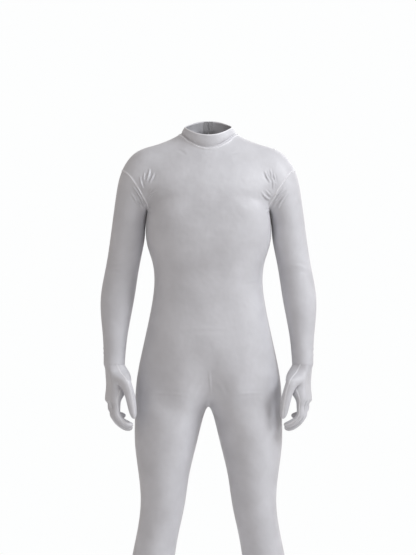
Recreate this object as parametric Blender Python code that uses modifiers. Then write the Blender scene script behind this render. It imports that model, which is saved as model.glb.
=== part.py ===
"""A fitted one-piece stretch jumpsuit: mock neck, long sleeves that run into gloves, full-length legs and a
centre-back zip. It is hollow and keeps the standing shape in which it is worn.

Metres, +Z up. The front faces -Y and the wearer's left is +X. The origin lies between the two points
where the shoulder lines meet the collar, so the garment hangs down from it.

How it is made: a coarse net of named rings (torso, legs, sleeves, collar, hands) is set out from the
sizes below. The net is made smooth, and its points are eased until the smooth surface runs through those
rings. Each cut piece is then a wall over its own share of that surface, a seam gap from its neighbours.
"""

import math
from collections import Counter, namedtuple

import bmesh
import bpy
from mathutils import Matrix, Vector

# Cloth and seams
WALL = 0.0015
COLLAR_WALL = 0.0026
HEM_WALL = 0.0026
HEM_TOP_Z = -1.430
SEAM_GAP = 0.0003
MITRE_LIMIT = 0.35
ON_LINE = 1e-6
EASE_ROUNDS = 7
NET_LEVELS = 1

# The net round the torso, for one half: columns run from centre front to centre back.
SIDE_COLUMN = 6
LAST_COLUMN = 12
NECK_COLUMN = 2
FRONT_ARMHOLE = 5
BACK_ARMHOLE = 7
ARMPIT_LEVEL = 4
SIDES = (1, -1)

# Half sections of the torso: each column's angle from the front centre, and how square the section is.
COLUMN_ANGLES = (0, 15, 30, 46, 61, 75, 90, 105, 119, 134, 150, 165, 180)
TorsoRow = namedtuple("TorsoRow", "z half_width front back square")
TORSO_ROWS = (
    TorsoRow(-0.190, 0.162, 0.117, 0.119, 2.8),
    TorsoRow(-0.262, 0.1655, 0.121, 0.115, 2.7),
    TorsoRow(-0.328, 0.149, 0.113, 0.102, 2.5),
    TorsoRow(-0.395, 0.1435, 0.103, 0.092, 2.4),
    TorsoRow(-0.475, 0.1555, 0.103, 0.099, 2.3),
    TorsoRow(-0.565, 0.1750, 0.106, 0.124, 2.3),
)
# The lowest ring of the torso, where it parts into the legs, dips towards the centre.
FORK_HALF_WIDTH = 0.191
FORK_FRONT = 0.093
FORK_BACK = 0.118
FORK_SIDE_Z = -0.655
FORK_FRONT_Z = -0.687
FORK_BACK_Z = -0.690
FORK_CENTRE_FRONT = 0.064
FORK_CENTRE_BACK = 0.082
CROTCH = (0.0, 0.008, -0.7155)
FORK_SQUARE = 2.4
FORK_DIP = 3

# Rows from the neck (first) down to just above the armpit: the centre line, and the armhole seam's point.
YokeRow = namedtuple("YokeRow", "centre_y centre_z edge_x edge_y edge_z fullness")
FRONT_YOKE = (
    YokeRow(-0.078, -0.066, 0.197, -0.055, -0.119, 2.2),
    YokeRow(-0.099, -0.108, 0.181, -0.063, -0.143, 2.6),
    YokeRow(-0.111, -0.150, 0.168, -0.060, -0.167, 2.8),
)
BACK_YOKE = (
    YokeRow(0.086, -0.036, 0.198, 0.064, -0.119, 2.4),
    YokeRow(0.107, -0.086, 0.183, 0.074, -0.144, 2.6),
    YokeRow(0.117, -0.138, 0.169, 0.067, -0.168, 2.8),
)
# The share of the yoke's width at which each column lies, from the centre to the armhole.
YOKE_SHARES = (0.0, 0.19, 0.38, 0.58, 0.79, 1.0)
YOKE_SLOPE = 1.6
# The neck seam and the shoulder's front and back edges, from centre to armhole, and the shoulder's ridge.
FRONT_TOP = (
    (0.0, -0.062, -0.036),
    (0.030, -0.056, -0.029),
    (0.057, -0.037, -0.013),
    (0.112, -0.030, -0.026),
    (0.168, -0.036, -0.050),
    (0.215, -0.034, -0.098),
)
BACK_TOP = (
    (0.0, 0.064, 0.010),
    (0.032, 0.058, 0.009),
    (0.060, 0.040, 0.005),
    (0.114, 0.046, -0.016),
    (0.168, 0.050, -0.046),
    (0.214, 0.045, -0.097),
)
RIDGE = (
    (0.0780, 0.004, 0.0060),
    (0.127, 0.008, -0.0180),
    (0.1895, 0.009, -0.0385),
    (0.2290, 0.006, -0.0890),
)
# The side of the torso is flat where the arm leaves it.
ARMPIT_CORNER = (0.158, 0.046, -0.190)
ARMPIT_TOP_Z = -0.184

# The collar: rings from just above the neck seam to the top edge, leaning forward.
CollarRing = namedtuple("CollarRing", "half_width front back front_z side_z back_z")
COLLAR_RINGS = (
    CollarRing(0.0700, 0.0625, 0.0575, -0.024, 0.0135, 0.024),
    CollarRing(0.0625, 0.0630, 0.0510, 0.0005, 0.0265, 0.046),
)
COLLAR_SWEEP = 1.5

# A leg's rings, horizontal, from below the crotch to the hem.
LegRing = namedtuple("LegRing", "z centre_x half_width centre_y half_depth")
LEG_RINGS = (
    LegRing(-0.745, 0.1050, 0.0900, 0.010, 0.098),
    LegRing(-0.815, 0.1135, 0.0810, 0.006, 0.090),
    LegRing(-0.895, 0.1180, 0.0665, 0.001, 0.078),
    LegRing(-0.975, 0.1215, 0.0580, -0.004, 0.067),
    LegRing(-1.060, 0.1365, 0.0550, 0.000, 0.060),
    LegRing(-1.150, 0.1515, 0.0560, 0.011, 0.062),
    LegRing(-1.255, 0.1625, 0.0480, 0.012, 0.051),
    LegRing(-1.360, 0.1715, 0.0370, 0.008, 0.041),
    LegRing(-1.428, 0.1770, 0.0345, 0.006, 0.041),
    LegRing(-1.450, 0.1790, 0.0350, 0.006, 0.042),
)
LEG_POINTS = 14

# A sleeve's rings, from below the armhole to the wrist. The first lean with the armhole.
SleeveRing = namedtuple("SleeveRing", "z centre_x half_width centre_y half_depth lean")
WRIST_RADIUS = 0.0278
SLEEVE_RINGS = (
    SleeveRing(-0.193, 0.2055, 0.0390, 0.003, 0.056, 1.00),
    SleeveRing(-0.262, 0.2140, 0.0435, 0.006, 0.050, 0.35),
    SleeveRing(-0.345, 0.2282, 0.0435, 0.010, 0.046, 0.10),
    SleeveRing(-0.432, 0.2415, 0.0443, 0.000, 0.045, 0.00),
    SleeveRing(-0.522, 0.2460, 0.0330, -0.020, 0.034, 0.00),
    SleeveRing(-0.600, 0.2478, WRIST_RADIUS, -0.034, WRIST_RADIUS, 0.0),
)
SLEEVE_POINTS = 12

# The left hand, in its own directions: down from the wrist, across to the forefinger, out from the back.
HAND_TURN = math.radians(18)
HAND_LEAN = math.radians(6)
PalmRing = namedtuple("PalmRing", "down half_width half_thick shift thumb_pad")
PALM_RINGS = (
    PalmRing(0.000, WRIST_RADIUS, WRIST_RADIUS, 0.000, 0.000),
    PalmRing(0.028, 0.0320, 0.0225, -0.003, 0.012),
    PalmRing(0.060, 0.0385, 0.0175, 0.000, 0.016),
    PalmRing(0.092, 0.0410, 0.0145, 0.005, 0.000),
)
PALM_COLUMNS = 4
PALM_EDGE_THINNING = 0.35
WRIST_SPREAD = math.radians(66)
THUMB_PAD_SHARES = (0.0, 0.0, 0.3, 0.9, 1.0)
KNUCKLE_ARCH = 0.004
THUMB_RING = 1
Finger = namedtuple("Finger", "name across down radius lengths bends")
FINGERS = (
    Finger("little", -0.0305, 0.083, 0.0090, (0.034, 0.021, 0.019), (4, 48, 76)),
    Finger("ring", -0.0105, 0.092, 0.0096, (0.043, 0.027, 0.022), (4, 46, 74)),
    Finger("middle", 0.0100, 0.096, 0.0099, (0.046, 0.028, 0.022), (3, 44, 72)),
    Finger("fore", 0.0305, 0.092, 0.0097, (0.042, 0.026, 0.022), (2, 40, 70)),
)
FINGER_STATIONS = ((0, 0.5), (1, 0.0), (2, 0.1), (2, 1.0))
FINGERTIP = 0.68
# The thumb's sections: down, across and out from the wrist, and the radius.
ThumbRing = namedtuple("ThumbRing", "down across out radius")
THUMB_TILTS = tuple(math.radians(tilt) for tilt in (42, 24, 8, 4))
THUMB_RINGS = (
    ThumbRing(0.0540, 0.0550, -0.0140, 0.0160),
    ThumbRing(0.0820, 0.0570, -0.0240, 0.0135),
    ThumbRing(0.1120, 0.0550, -0.0302, 0.0118),
    ThumbRing(0.1390, 0.0525, -0.0344, 0.0072),
)

# The zip down the centre back.
ZIP_FOOT_Z = -0.455
TAPE_WIDTH = 0.0125
TAPE_THICK = 0.0008
TAPE_PARTING = 0.0007
SLIDER_DROP = 0.009
SLIDER_SIZE = (0.0080, 0.0110, 0.0022)
SLIDER_CHAMFER = 0.0006
BAIL_WIDTH = 0.0026
BAIL_STRAP = 0.0010
BAIL_SINK = 0.0004
TUNNEL = (0.0050, 0.0026)
PULL_BAR = 0.0012
PULL_WIDTH = 0.0062
PULL_LENGTH = 0.0220
PULL_HOLE = (0.0036, 0.0048)

COLOURS = {
    "stretch_cloth": ((0.545, 0.540, 0.560, 1.0), 0.5, 0.0),
    "zip_metal": ((0.60, 0.60, 0.62, 1.0), 0.3, 1.0),
    "zip_tape": ((0.45, 0.45, 0.47, 1.0), 0.8, 0.0),
}


def clear_scene():
    for obj in list(bpy.data.objects):
        bpy.data.objects.remove(obj)


def collection(name):
    made = bpy.data.collections.new(name)
    bpy.context.scene.collection.children.link(made)
    return made


def material(name):
    colour, roughness, metallic = COLOURS[name]
    made = bpy.data.materials.new(name)
    made.use_nodes = True
    shader = made.node_tree.nodes["Principled BSDF"]
    shader.inputs["Base Color"].default_value = colour
    shader.inputs["Roughness"].default_value = roughness
    shader.inputs["Metallic"].default_value = metallic
    return made


class Net:
    """A net of named points and four-sided faces, each face belonging to a cut piece."""

    def __init__(self):
        self.index = {}
        self.points = []
        self.backs = []
        self.faces = []
        self.pieces = []
        self.piece_names = []

    def point(self, key, place, back=0):
        """Back is 1 for a point on the back of a hand, which parts the glove's two pieces."""
        self.index[key] = len(self.points)
        self.points.append(Vector(place))
        self.backs.append(float(back))

    def face(self, piece, keys, outward=True):
        """The keys go round anticlockwise as seen from outside, or the other way if outward is false."""
        if not outward:
            keys = list(reversed(keys))
        if piece not in self.piece_names:
            self.piece_names.append(piece)
        self.faces.append([self.index[key] for key in keys])
        self.pieces.append(self.piece_names.index(piece))


def side_of(x_side, column):
    """Points on the centre line are shared by both halves, so they have side 0."""
    return 0 if column in (0, LAST_COLUMN) else x_side


def torso_key(side, level, column):
    return ("torso", side_of(side, column), level, column)


def section_point(angle_degrees, half_width, front, back, square):
    """A point of a rounded section, by its angle from the front centre."""
    angle = math.radians(angle_degrees)
    power = 2 / square
    across = abs(math.sin(angle)) ** power * half_width
    along = abs(math.cos(angle)) ** power
    return across, -along * front if angle_degrees < 90 else along * back


def yoke_points(row):
    """The points of one yoke row, from the centre line out to the armhole seam."""
    points = []
    for share in YOKE_SHARES:
        x = row.edge_x * share
        y = row.edge_y + (row.centre_y - row.edge_y) * (1 - share**row.fullness)
        z = row.centre_z + (row.edge_z - row.centre_z) * share**YOKE_SLOPE
        points.append((x, y, z))
    return points


def torso_half():
    """{(level, column): place} for the left half, from the neck seam (level 0) down to the fork."""
    places = {}
    for column, place in enumerate(FRONT_TOP):
        places[0, column] = place
    for column, place in enumerate(BACK_TOP):
        places[0, LAST_COLUMN - column] = place
    for level, (front_row, back_row) in enumerate(zip(FRONT_YOKE, BACK_YOKE), start=1):
        for column, place in enumerate(yoke_points(front_row)):
            places[level, column] = place
        for column, place in enumerate(yoke_points(back_row)):
            places[level, LAST_COLUMN - column] = place
    for level, row in enumerate(TORSO_ROWS, start=ARMPIT_LEVEL):
        for column, angle in enumerate(COLUMN_ANGLES):
            x, y = section_point(angle, row.half_width, row.front, row.back, row.square)
            places[level, column] = (x, y, row.z)
    corner_x, corner_y, corner_z = ARMPIT_CORNER
    places[ARMPIT_LEVEL, FRONT_ARMHOLE] = (corner_x, -corner_y, corner_z)
    places[ARMPIT_LEVEL, BACK_ARMHOLE] = (corner_x, corner_y, corner_z)
    x, y, _ = places[ARMPIT_LEVEL, SIDE_COLUMN]
    places[ARMPIT_LEVEL, SIDE_COLUMN] = (x, y, ARMPIT_TOP_Z)
    fork = ARMPIT_LEVEL + len(TORSO_ROWS)
    for column, angle in enumerate(COLUMN_ANGLES):
        x, y = section_point(angle, FORK_HALF_WIDTH, FORK_FRONT, FORK_BACK, FORK_SQUARE)
        low = FORK_FRONT_Z if column < SIDE_COLUMN else FORK_BACK_Z
        dip = abs(math.cos(math.radians(angle))) ** FORK_DIP
        places[fork, column] = (x, y, FORK_SIDE_Z + (low - FORK_SIDE_Z) * dip)
    places[fork, 0] = (0.0, -FORK_CENTRE_FRONT, FORK_FRONT_Z)
    places[fork, LAST_COLUMN] = (0.0, FORK_CENTRE_BACK, FORK_BACK_Z)
    return places


def add_torso(net):
    places = torso_half()
    fork = max(level for level, _ in places)
    for side in SIDES:
        for (level, column), (x, y, z) in places.items():
            key = torso_key(side, level, column)
            if key not in net.index:
                net.point(key, (x * side, y, z))
        for step, (x, y, z) in enumerate(RIDGE):
            net.point(("ridge", side, step), (x * side, y, z))
    for side in SIDES:
        back = "back_left" if side > 0 else "back_right"
        for level in range(fork):
            for column in range(LAST_COLUMN):
                in_armhole = FRONT_ARMHOLE <= column < BACK_ARMHOLE
                if level < ARMPIT_LEVEL and in_armhole:
                    continue
                corners = [
                    torso_key(side, level, column),
                    torso_key(side, level, column + 1),
                    torso_key(side, level + 1, column + 1),
                    torso_key(side, level + 1, column),
                ]
                net.face("front" if column < SIDE_COLUMN else back, corners, side < 0)
        for step in range(FRONT_ARMHOLE - NECK_COLUMN):
            front = NECK_COLUMN + step
            rear = LAST_COLUMN - front
            inner, outer = ("ridge", side, step), ("ridge", side, step + 1)
            slope = [torso_key(side, 0, front), inner, outer, torso_key(side, 0, front + 1)]
            net.face("front", slope, side < 0)
            slope = [outer, inner, torso_key(side, 0, rear), torso_key(side, 0, rear - 1)]
            net.face(back, slope, side < 0)
    return fork


def ring_spot(angle_degrees, centre_x, half_width, centre_y, half_depth):
    """A point of an oval ring: angle 0 is the outer side and 90 the front."""
    angle = math.radians(angle_degrees)
    return centre_x + half_width * math.cos(angle), centre_y - half_depth * math.sin(angle)


def leg_key(side, fork, ring, step):
    if ring > 0:
        return ("leg", side, ring, step)
    if step == LEG_POINTS - 1:
        return ("crotch",)
    return torso_key(side, fork, step)


def add_legs(net, fork):
    net.point(("crotch",), CROTCH)
    turn = 360 / LEG_POINTS
    for side in SIDES:
        for ring, row in enumerate(LEG_RINGS, start=1):
            for step in range(LEG_POINTS):
                angle = 180 - turn * (step + 1)
                x, y = ring_spot(angle, row.centre_x, row.half_width, row.centre_y, row.half_depth)
                net.point(("leg", side, ring, step), (x * side, y, row.z))
        back = "back_left" if side > 0 else "back_right"
        for ring in range(len(LEG_RINGS)):
            for step in range(LEG_POINTS):
                after = (step + 1) % LEG_POINTS
                in_front = step < SIDE_COLUMN or step == LEG_POINTS - 1
                corners = [
                    leg_key(side, fork, ring, step),
                    leg_key(side, fork, ring, after),
                    leg_key(side, fork, ring + 1, after),
                    leg_key(side, fork, ring + 1, step),
                ]
                net.face("front" if in_front else back, corners, side < 0)


def sleeve_key(side, ring, step):
    """Step 0 is the outer side, 3 the front, 6 the inner side and 9 the back."""
    if ring > 0:
        return ("sleeve", side, ring, step)
    if step == 0:
        return ("ridge", side, len(RIDGE) - 1)
    if step < 6:
        return torso_key(side, step - 1, FRONT_ARMHOLE)
    if step == 6:
        return torso_key(side, ARMPIT_LEVEL, SIDE_COLUMN)
    return torso_key(side, SLEEVE_POINTS - 1 - step, BACK_ARMHOLE)


def add_sleeves(net):
    turn = 360 / SLEEVE_POINTS
    for side in SIDES:
        for ring, row in enumerate(SLEEVE_RINGS, start=1):
            for step in range(SLEEVE_POINTS):
                x, y = ring_spot(turn * step, row.centre_x, row.half_width, row.centre_y, row.half_depth)
                z = row.z + row.lean * (x - row.centre_x)
                net.point(("sleeve", side, ring, step), (x * side, y, z))
        piece = "sleeve_left" if side > 0 else "sleeve_right"
        for ring in range(len(SLEEVE_RINGS)):
            for step in range(SLEEVE_POINTS):
                after = (step + 1) % SLEEVE_POINTS
                corners = [
                    sleeve_key(side, ring, step),
                    sleeve_key(side, ring, after),
                    sleeve_key(side, ring + 1, after),
                    sleeve_key(side, ring + 1, step),
                ]
                net.face(piece, corners, side > 0)


def neck_keys():
    """The neck seam's points, all round from centre front by the left side."""
    half = [torso_key(1, 0, 0), torso_key(1, 0, 1), torso_key(1, 0, 2), ("ridge", 1, 0)]
    half += [torso_key(1, 0, 10), torso_key(1, 0, 11)]
    other = [torso_key(-1, 0, 11), torso_key(-1, 0, 10), ("ridge", -1, 0)]
    other += [torso_key(-1, 0, 2), torso_key(-1, 0, 1)]
    return half + [torso_key(1, 0, LAST_COLUMN)] + other


def add_collar(net):
    below = neck_keys()
    count = len(below)
    for ring, row in enumerate(COLLAR_RINGS, start=1):
        keys = [("collar", ring, step) for step in range(count)]
        for step, key in enumerate(keys):
            angle = math.radians(360 * step / count)
            forward = math.cos(angle)
            x = math.sin(angle) * row.half_width
            y = -forward * (row.front if forward > 0 else row.back)
            end_z = row.front_z if forward > 0 else row.back_z
            z = row.side_z + (end_z - row.side_z) * abs(forward) ** COLLAR_SWEEP
            net.point(key, (x, y, z))
        for step in range(count):
            after = (step + 1) % count
            net.face("collar", [below[step], below[after], keys[after], keys[step]])
        below = keys


def hand_frame():
    """The left hand's directions, as a matrix from (down, across, out) to the garment's own."""
    wrist = SLEEVE_RINGS[-1]
    turned = Matrix.Rotation(-HAND_TURN, 3, "Z")
    leaned = Matrix.Rotation(-HAND_LEAN, 3, "X")
    own = Matrix(((0, 0, 1), (0, -1, 0), (-1, 0, 0)))
    return Matrix.Translation((wrist.centre_x, wrist.centre_y, wrist.z)) @ (turned @ leaned @ own).to_4x4()


def palm_ring(number):
    """(back points, palm points) as (across, out), each from the little finger to the forefinger."""
    row = PALM_RINGS[number]
    back, palm = [], []
    for column in range(PALM_COLUMNS + 1):
        share = 2 * column / PALM_COLUMNS - 1
        across = row.half_width * share
        thick = row.half_thick * (1 - PALM_EDGE_THINNING * share**4)
        if number == 0:
            across = row.half_width * math.sin(WRIST_SPREAD * share)
            thick = row.half_thick * math.cos(WRIST_SPREAD * share)
        back.append((across, row.shift + thick))
        palm.append((across, row.shift - thick - row.thumb_pad * THUMB_PAD_SHARES[column]))
    return back, palm


def finger_rings(finger):
    """(down, out, bend, radius) of each section's centre, from the first joint to the tip."""
    bends = [math.radians(bend) for bend in finger.bends]
    starts = [(finger.down, PALM_RINGS[-1].shift)]
    for length, bend in zip(finger.lengths, bends):
        down, out = starts[-1]
        starts.append((down + length * math.cos(bend), out - length * math.sin(bend)))
    rings = []
    for segment, share in FINGER_STATIONS:
        down, out = starts[segment]
        bend = bends[segment]
        reach = finger.lengths[segment] * share
        down += reach * math.cos(bend)
        out -= reach * math.sin(bend)
        if share == 0:
            bend = (bend + bends[segment - 1]) / 2
        rings.append((down, out, bend, finger.radius * (FINGERTIP if share == 1 else 1)))
    return rings


def add_hand(net, side):
    """One glove. Its back and palm pieces meet along the middle of the hand's and fingers' sides."""
    frame = hand_frame()
    wrist = SLEEVE_RINGS[-1]
    piece = "glove_left" if side > 0 else "glove_right"

    def put(key, down, across, out, back):
        place = frame @ Vector((down, across, out))
        if down == 0:
            place.z = wrist.z
        net.point(key, (place.x * side, place.y, place.z), back)

    def quad(*keys):
        net.face(piece, keys, side < 0)

    def palm(ring, column, back):
        return ("palm", side, ring, column, back)

    last = len(PALM_RINGS) - 1
    for ring, row in enumerate(PALM_RINGS):
        for back, spots in zip((1, 0), palm_ring(ring)):
            for column, (across, out) in enumerate(spots):
                arch = KNUCKLE_ARCH * (1 - (across / row.half_width) ** 2) if ring == last else 0
                put(palm(ring, column, back), row.down + arch, across, out, back)
    for ring in range(last):
        below = ring + 1
        for column in range(PALM_COLUMNS):
            beside = column + 1
            corners = [(ring, column), (below, column), (below, beside), (ring, beside)]
            quad(*[palm(*corner, 1) for corner in corners])
            quad(*[palm(*corner, 0) for corner in reversed(corners)])
        quad(palm(ring, 0, 1), palm(ring, 0, 0), palm(below, 0, 0), palm(below, 0, 1))
        if ring != THUMB_RING:
            end = PALM_COLUMNS
            quad(palm(ring, end, 0), palm(ring, end, 1), palm(below, end, 1), palm(below, end, 0))
    for column, finger in enumerate(FINGERS):
        root = [(column, 1), (column + 1, 1), (column + 1, 0), (column, 0)]
        before = [palm(last, place, back) for place, back in root]
        for number, (down, out, bend, radius) in enumerate(finger_rings(finger)):
            keys = [("finger", side, finger.name, number, corner) for corner in range(4)]
            reach = radius * math.sqrt(0.5)
            for key, (along, thick) in zip(keys, ((-1, 1), (1, 1), (1, -1), (-1, -1))):
                lower = down + thick * reach * math.sin(bend)
                outer = out + thick * reach * math.cos(bend)
                put(key, lower, finger.across + along * reach, outer, int(thick > 0))
            for corner in range(4):
                after = (corner + 1) % 4
                quad(before[after], before[corner], keys[corner], keys[after])
            before = keys
        quad(*reversed(before))
    end = PALM_COLUMNS
    root = [(THUMB_RING, 1), (THUMB_RING, 0), (THUMB_RING + 1, 0), (THUMB_RING + 1, 1)]
    before = [palm(ring, end, back) for ring, back in root]
    for number, row in enumerate(THUMB_RINGS):
        keys = [("thumb", side, number, corner) for corner in range(4)]
        reach = row.radius * math.sqrt(0.5)
        tilt = THUMB_TILTS[number]
        for key, (along, thick) in zip(keys, ((1, 1), (1, -1), (-1, -1), (-1, 1))):
            upper = row.down - along * reach * math.sin(tilt)
            aside = row.across + along * reach * math.cos(tilt)
            put(key, upper, aside, row.out + thick * reach, int(thick > 0))
        for corner in range(4):
            after = (corner + 1) % 4
            quad(before[after], before[corner], keys[corner], keys[after])
        before = keys
    quad(*reversed(before))


def subdivided(net, points, levels):
    """A new mesh: the net with these points, made smooth. The first points are the net's own."""
    mesh = bpy.data.meshes.new("net")
    mesh.from_pydata(points, [], net.faces)
    pieces = mesh.attributes.new("piece", "INT", "FACE")
    pieces.data.foreach_set("value", net.pieces)
    backs = mesh.attributes.new("back", "FLOAT", "POINT")
    backs.data.foreach_set("value", net.backs)
    guide = bpy.data.objects.new("net", mesh)
    bpy.context.scene.collection.objects.link(guide)
    smooth = guide.modifiers.new("Subdivision", "SUBSURF")
    smooth.levels = smooth.render_levels = levels
    bpy.context.view_layer.update()
    graph = bpy.context.evaluated_depsgraph_get()
    made = bpy.data.meshes.new_from_object(guide.evaluated_get(graph))
    bpy.data.objects.remove(guide)
    return made


def eased(net):
    """The net's points, moved until the smooth surface runs through the places that were set out."""
    points = [point.copy() for point in net.points]
    for _ in range(EASE_ROUNDS):
        mesh = subdivided(net, points, 1)
        for number, target in enumerate(net.points):
            points[number] += target - mesh.vertices[number].co
        bpy.data.meshes.remove(mesh)
    return points


class Surface:
    """The whole smooth surface: places, outward normals, and the faces of each cut piece."""

    def __init__(self, net, mesh):
        self.places = [vertex.co.copy() for vertex in mesh.vertices]
        self.normals = [vertex.normal.copy() for vertex in mesh.vertices]
        self.twins = {}
        self.piece_faces = {}
        uses = Counter()
        backs = [value.value for value in mesh.attributes["back"].data]
        pieces = [value.value for value in mesh.attributes["piece"].data]
        for polygon, number in zip(mesh.polygons, pieces):
            name = net.piece_names[number]
            face = tuple(polygon.vertices)
            if name.startswith("glove"):
                on_back = sum(backs[v] for v in face) > len(face) / 2
                name = name.replace("glove", "glove_back" if on_back else "glove_palm")
            self.piece_faces.setdefault(name, []).append(face)
            uses.update(frozenset(edge) for edge in edges_of(face))
        self.open_edges = {edge for edge, count in uses.items() if count == 1}
        # Wrists and hems are cut level, so their walls are too.
        for v in set().union(*self.open_edges):
            if self.places[v].z < SLEEVE_RINGS[-1].z + 0.001:
                self.normals[v].z = 0
                self.normals[v].normalize()

    def part_at_back(self, piece):
        """Cut a piece that runs across the centre back: its right half gets points of its own there."""
        copies = {}
        faces = []
        for face in self.piece_faces[piece]:
            if sum(self.places[v].x for v in face) > 0:
                faces.append(face)
                continue
            for v in face:
                if abs(self.places[v].x) < ON_LINE and self.places[v].y > 0 and v not in copies:
                    copies[v] = len(self.places)
                    self.twins[copies[v]] = v
                    self.places.append(self.places[v].copy())
                    self.normals.append(self.normals[v].copy())
            faces.append(tuple(copies.get(v, v) for v in face))
        self.piece_faces[piece] = faces

    def is_open(self, edge):
        return frozenset(self.twins.get(v, v) for v in edge) in self.open_edges


def edges_of(face):
    return list(zip(face, face[1:] + face[:1]))


def rim_edges(faces):
    """The directed edges that only one face of the piece has."""
    directed = [edge for face in faces for edge in edges_of(face)]
    known = set(directed)
    return [(a, b) for a, b in directed if (b, a) not in known]


def seam_shifts(surface, faces, rims, open_too):
    """{point: move} that draws a piece's edge back by half the seam gap."""
    ways = {}
    for face in faces:
        for a, b in edges_of(face):
            if (a, b) not in rims or (surface.is_open((a, b)) and not open_too):
                continue
            normal = (surface.normals[a] + surface.normals[b]).normalized()
            inward = normal.cross(surface.places[b] - surface.places[a]).normalized()
            ways.setdefault(a, []).append(inward)
            ways.setdefault(b, []).append(inward)
    shifts = {}
    for v, inwards in ways.items():
        if len(inwards) == 1:
            shifts[v] = inwards[0] * SEAM_GAP / 2
        else:
            first, second = inwards[:2]
            shifts[v] = (first + second) * (SEAM_GAP / 2 / max(1 + first.dot(second), MITRE_LIMIT))
    return shifts


def closed_wall(name, outer, inner, faces, rims, look):
    """A closed body between two skins. Outer and inner are {point: place}."""
    order = {v: number for number, v in enumerate(outer)}
    count = len(order)
    polygons = [[order[v] for v in face] for face in faces]
    polygons += [[order[v] + count for v in reversed(face)] for face in faces]
    for a, b in rims:
        # Both sides of a seam are split along the same diagonal, so they stay a gap apart where it twists.
        a_out, b_out = order[a], order[b]
        a_in, b_in = a_out + count, b_out + count
        if a < b:
            polygons += [[b_out, a_out, b_in], [a_out, a_in, b_in]]
        else:
            polygons += [[b_out, a_out, a_in], [b_out, a_in, b_in]]
    return solid(name, list(outer.values()) + list(inner.values()), polygons, look)


def solid(name, places, polygons, look):
    mesh = bpy.data.meshes.new(name)
    mesh.from_pydata(places, [], polygons)
    mesh.materials.append(MATERIALS[look])
    mesh.validate()
    obj = bpy.data.objects.new(name, mesh)
    SUIT.objects.link(obj)
    return obj


def wall_at(place, collar):
    if collar:
        return COLLAR_WALL
    return HEM_WALL if place.z < HEM_TOP_Z else WALL


def cloth_piece(surface, name):
    faces = surface.piece_faces[name]
    rims = set(rim_edges(faces))
    open_too = name.startswith(("sleeve", "glove"))
    shifts = seam_shifts(surface, faces, rims, open_too)
    outer, inner = {}, {}
    for v in sorted({v for face in faces for v in face}):
        place = surface.places[v] + shifts.get(v, Vector())
        outer[v] = place
        inner[v] = place - surface.normals[v] * wall_at(place, name == "collar")
    return closed_wall(name, outer, inner, faces, rims, "stretch_cloth")


def zip_tape(surface, side):
    """A strip of tape inside the back and the collar, along the centre back."""
    rows = []
    neighbours = {}
    for name in ("back_left" if side > 0 else "back_right", "collar"):
        for face in surface.piece_faces[name]:
            for a, b in edges_of(face):
                for v, other in ((a, b), (b, a)):
                    on_line = abs(surface.places[v].x) < ON_LINE and surface.places[v].y > 0
                    beside = surface.places[other].x * side > ON_LINE
                    if on_line and beside and surface.places[v].z > ZIP_FOOT_Z:
                        neighbours[v] = other
    collar_points = {v for face in surface.piece_faces["collar"] for v in face}
    lines = sorted(neighbours, key=lambda v: -surface.places[v].z)
    for v in lines:
        other = neighbours[v]
        depth = (COLLAR_WALL if v in collar_points else WALL) + SEAM_GAP
        row = []
        for x in (TAPE_PARTING / 2, TAPE_WIDTH):
            share = x / abs(surface.places[other].x)
            place = surface.places[v].lerp(surface.places[other], share)
            normal = surface.normals[v].lerp(surface.normals[other], share).normalized()
            row.append((place - normal * depth, place - normal * (depth + TAPE_THICK)))
        rows.append(row)
    outer, inner, faces = {}, {}, []
    for number, row in enumerate(rows):
        for column, (near, far) in enumerate(row):
            outer[number, column] = near
            inner[number, column] = far
    for number in range(len(rows) - 1):
        face = ((number, 0), (number + 1, 0), (number + 1, 1), (number, 1))
        faces.append(face if side < 0 else tuple(reversed(face)))
    name = "zip_tape_left" if side > 0 else "zip_tape_right"
    return closed_wall(name, outer, inner, faces, rim_edges(faces), "zip_tape")


def extruded(name, outline, half_width, frame, look):
    """A body from an outline of (up, out) points, as thick as twice half_width across."""
    count = len(outline)
    places = [frame @ Vector((x, up, out)) for x in (half_width, -half_width) for up, out in outline]
    polygons = [list(range(count)), list(reversed(range(count, 2 * count)))]
    for a in range(count):
        b = (a + 1) % count
        polygons.append([b, a, a + count, b + count])
    made = solid(name, places, polygons, look)
    bm = bmesh.new()
    bm.from_mesh(made.data)
    bmesh.ops.recalc_face_normals(bm, faces=bm.faces)
    bm.to_mesh(made.data)
    bm.free()
    return made


def joined(kept, other, operation):
    """Join a second body to the kept one, or cut it away, and drop the second."""
    CUTTERS.objects.link(other)
    SUIT.objects.unlink(other)
    other.hide_render = True
    other.display_type = "WIRE"
    step = kept.modifiers.new("Join", "BOOLEAN")
    step.operation = operation
    step.solver = "EXACT"
    step.object = other
    bpy.context.view_layer.update()
    graph = bpy.context.evaluated_depsgraph_get()
    made = bpy.data.meshes.new_from_object(kept.evaluated_get(graph))
    kept.modifiers.clear()
    kept.data = made
    bpy.data.objects.remove(other)


def collar_back_frame(surface):
    """Across, up the collar, and out from it, at the slider's place on the collar's back."""
    line = [v for face in surface.piece_faces["collar"] for v in face]
    line = sorted({v for v in line if abs(surface.places[v].x) < ON_LINE and surface.places[v].y > 0},
                  key=lambda v: -surface.places[v].z)
    top, foot = surface.places[line[0]], surface.places[line[-1]]
    up = (top - foot).normalized()
    across = Vector((1, 0, 0))
    out = -up.cross(across) if up.cross(across).y < 0 else up.cross(across)
    turned = Matrix((across, up, out)).transposed().to_4x4()
    middle = [surface.places[v] for v in line]
    bulge = max((place - top).dot(out) for place in middle)
    return Matrix.Translation(top - up * SLIDER_DROP + out * bulge) @ turned


def box_outline(up_low, up_high, out_low, out_high):
    return [(up_low, out_low), (up_high, out_low), (up_high, out_high), (up_low, out_high)]


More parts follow.
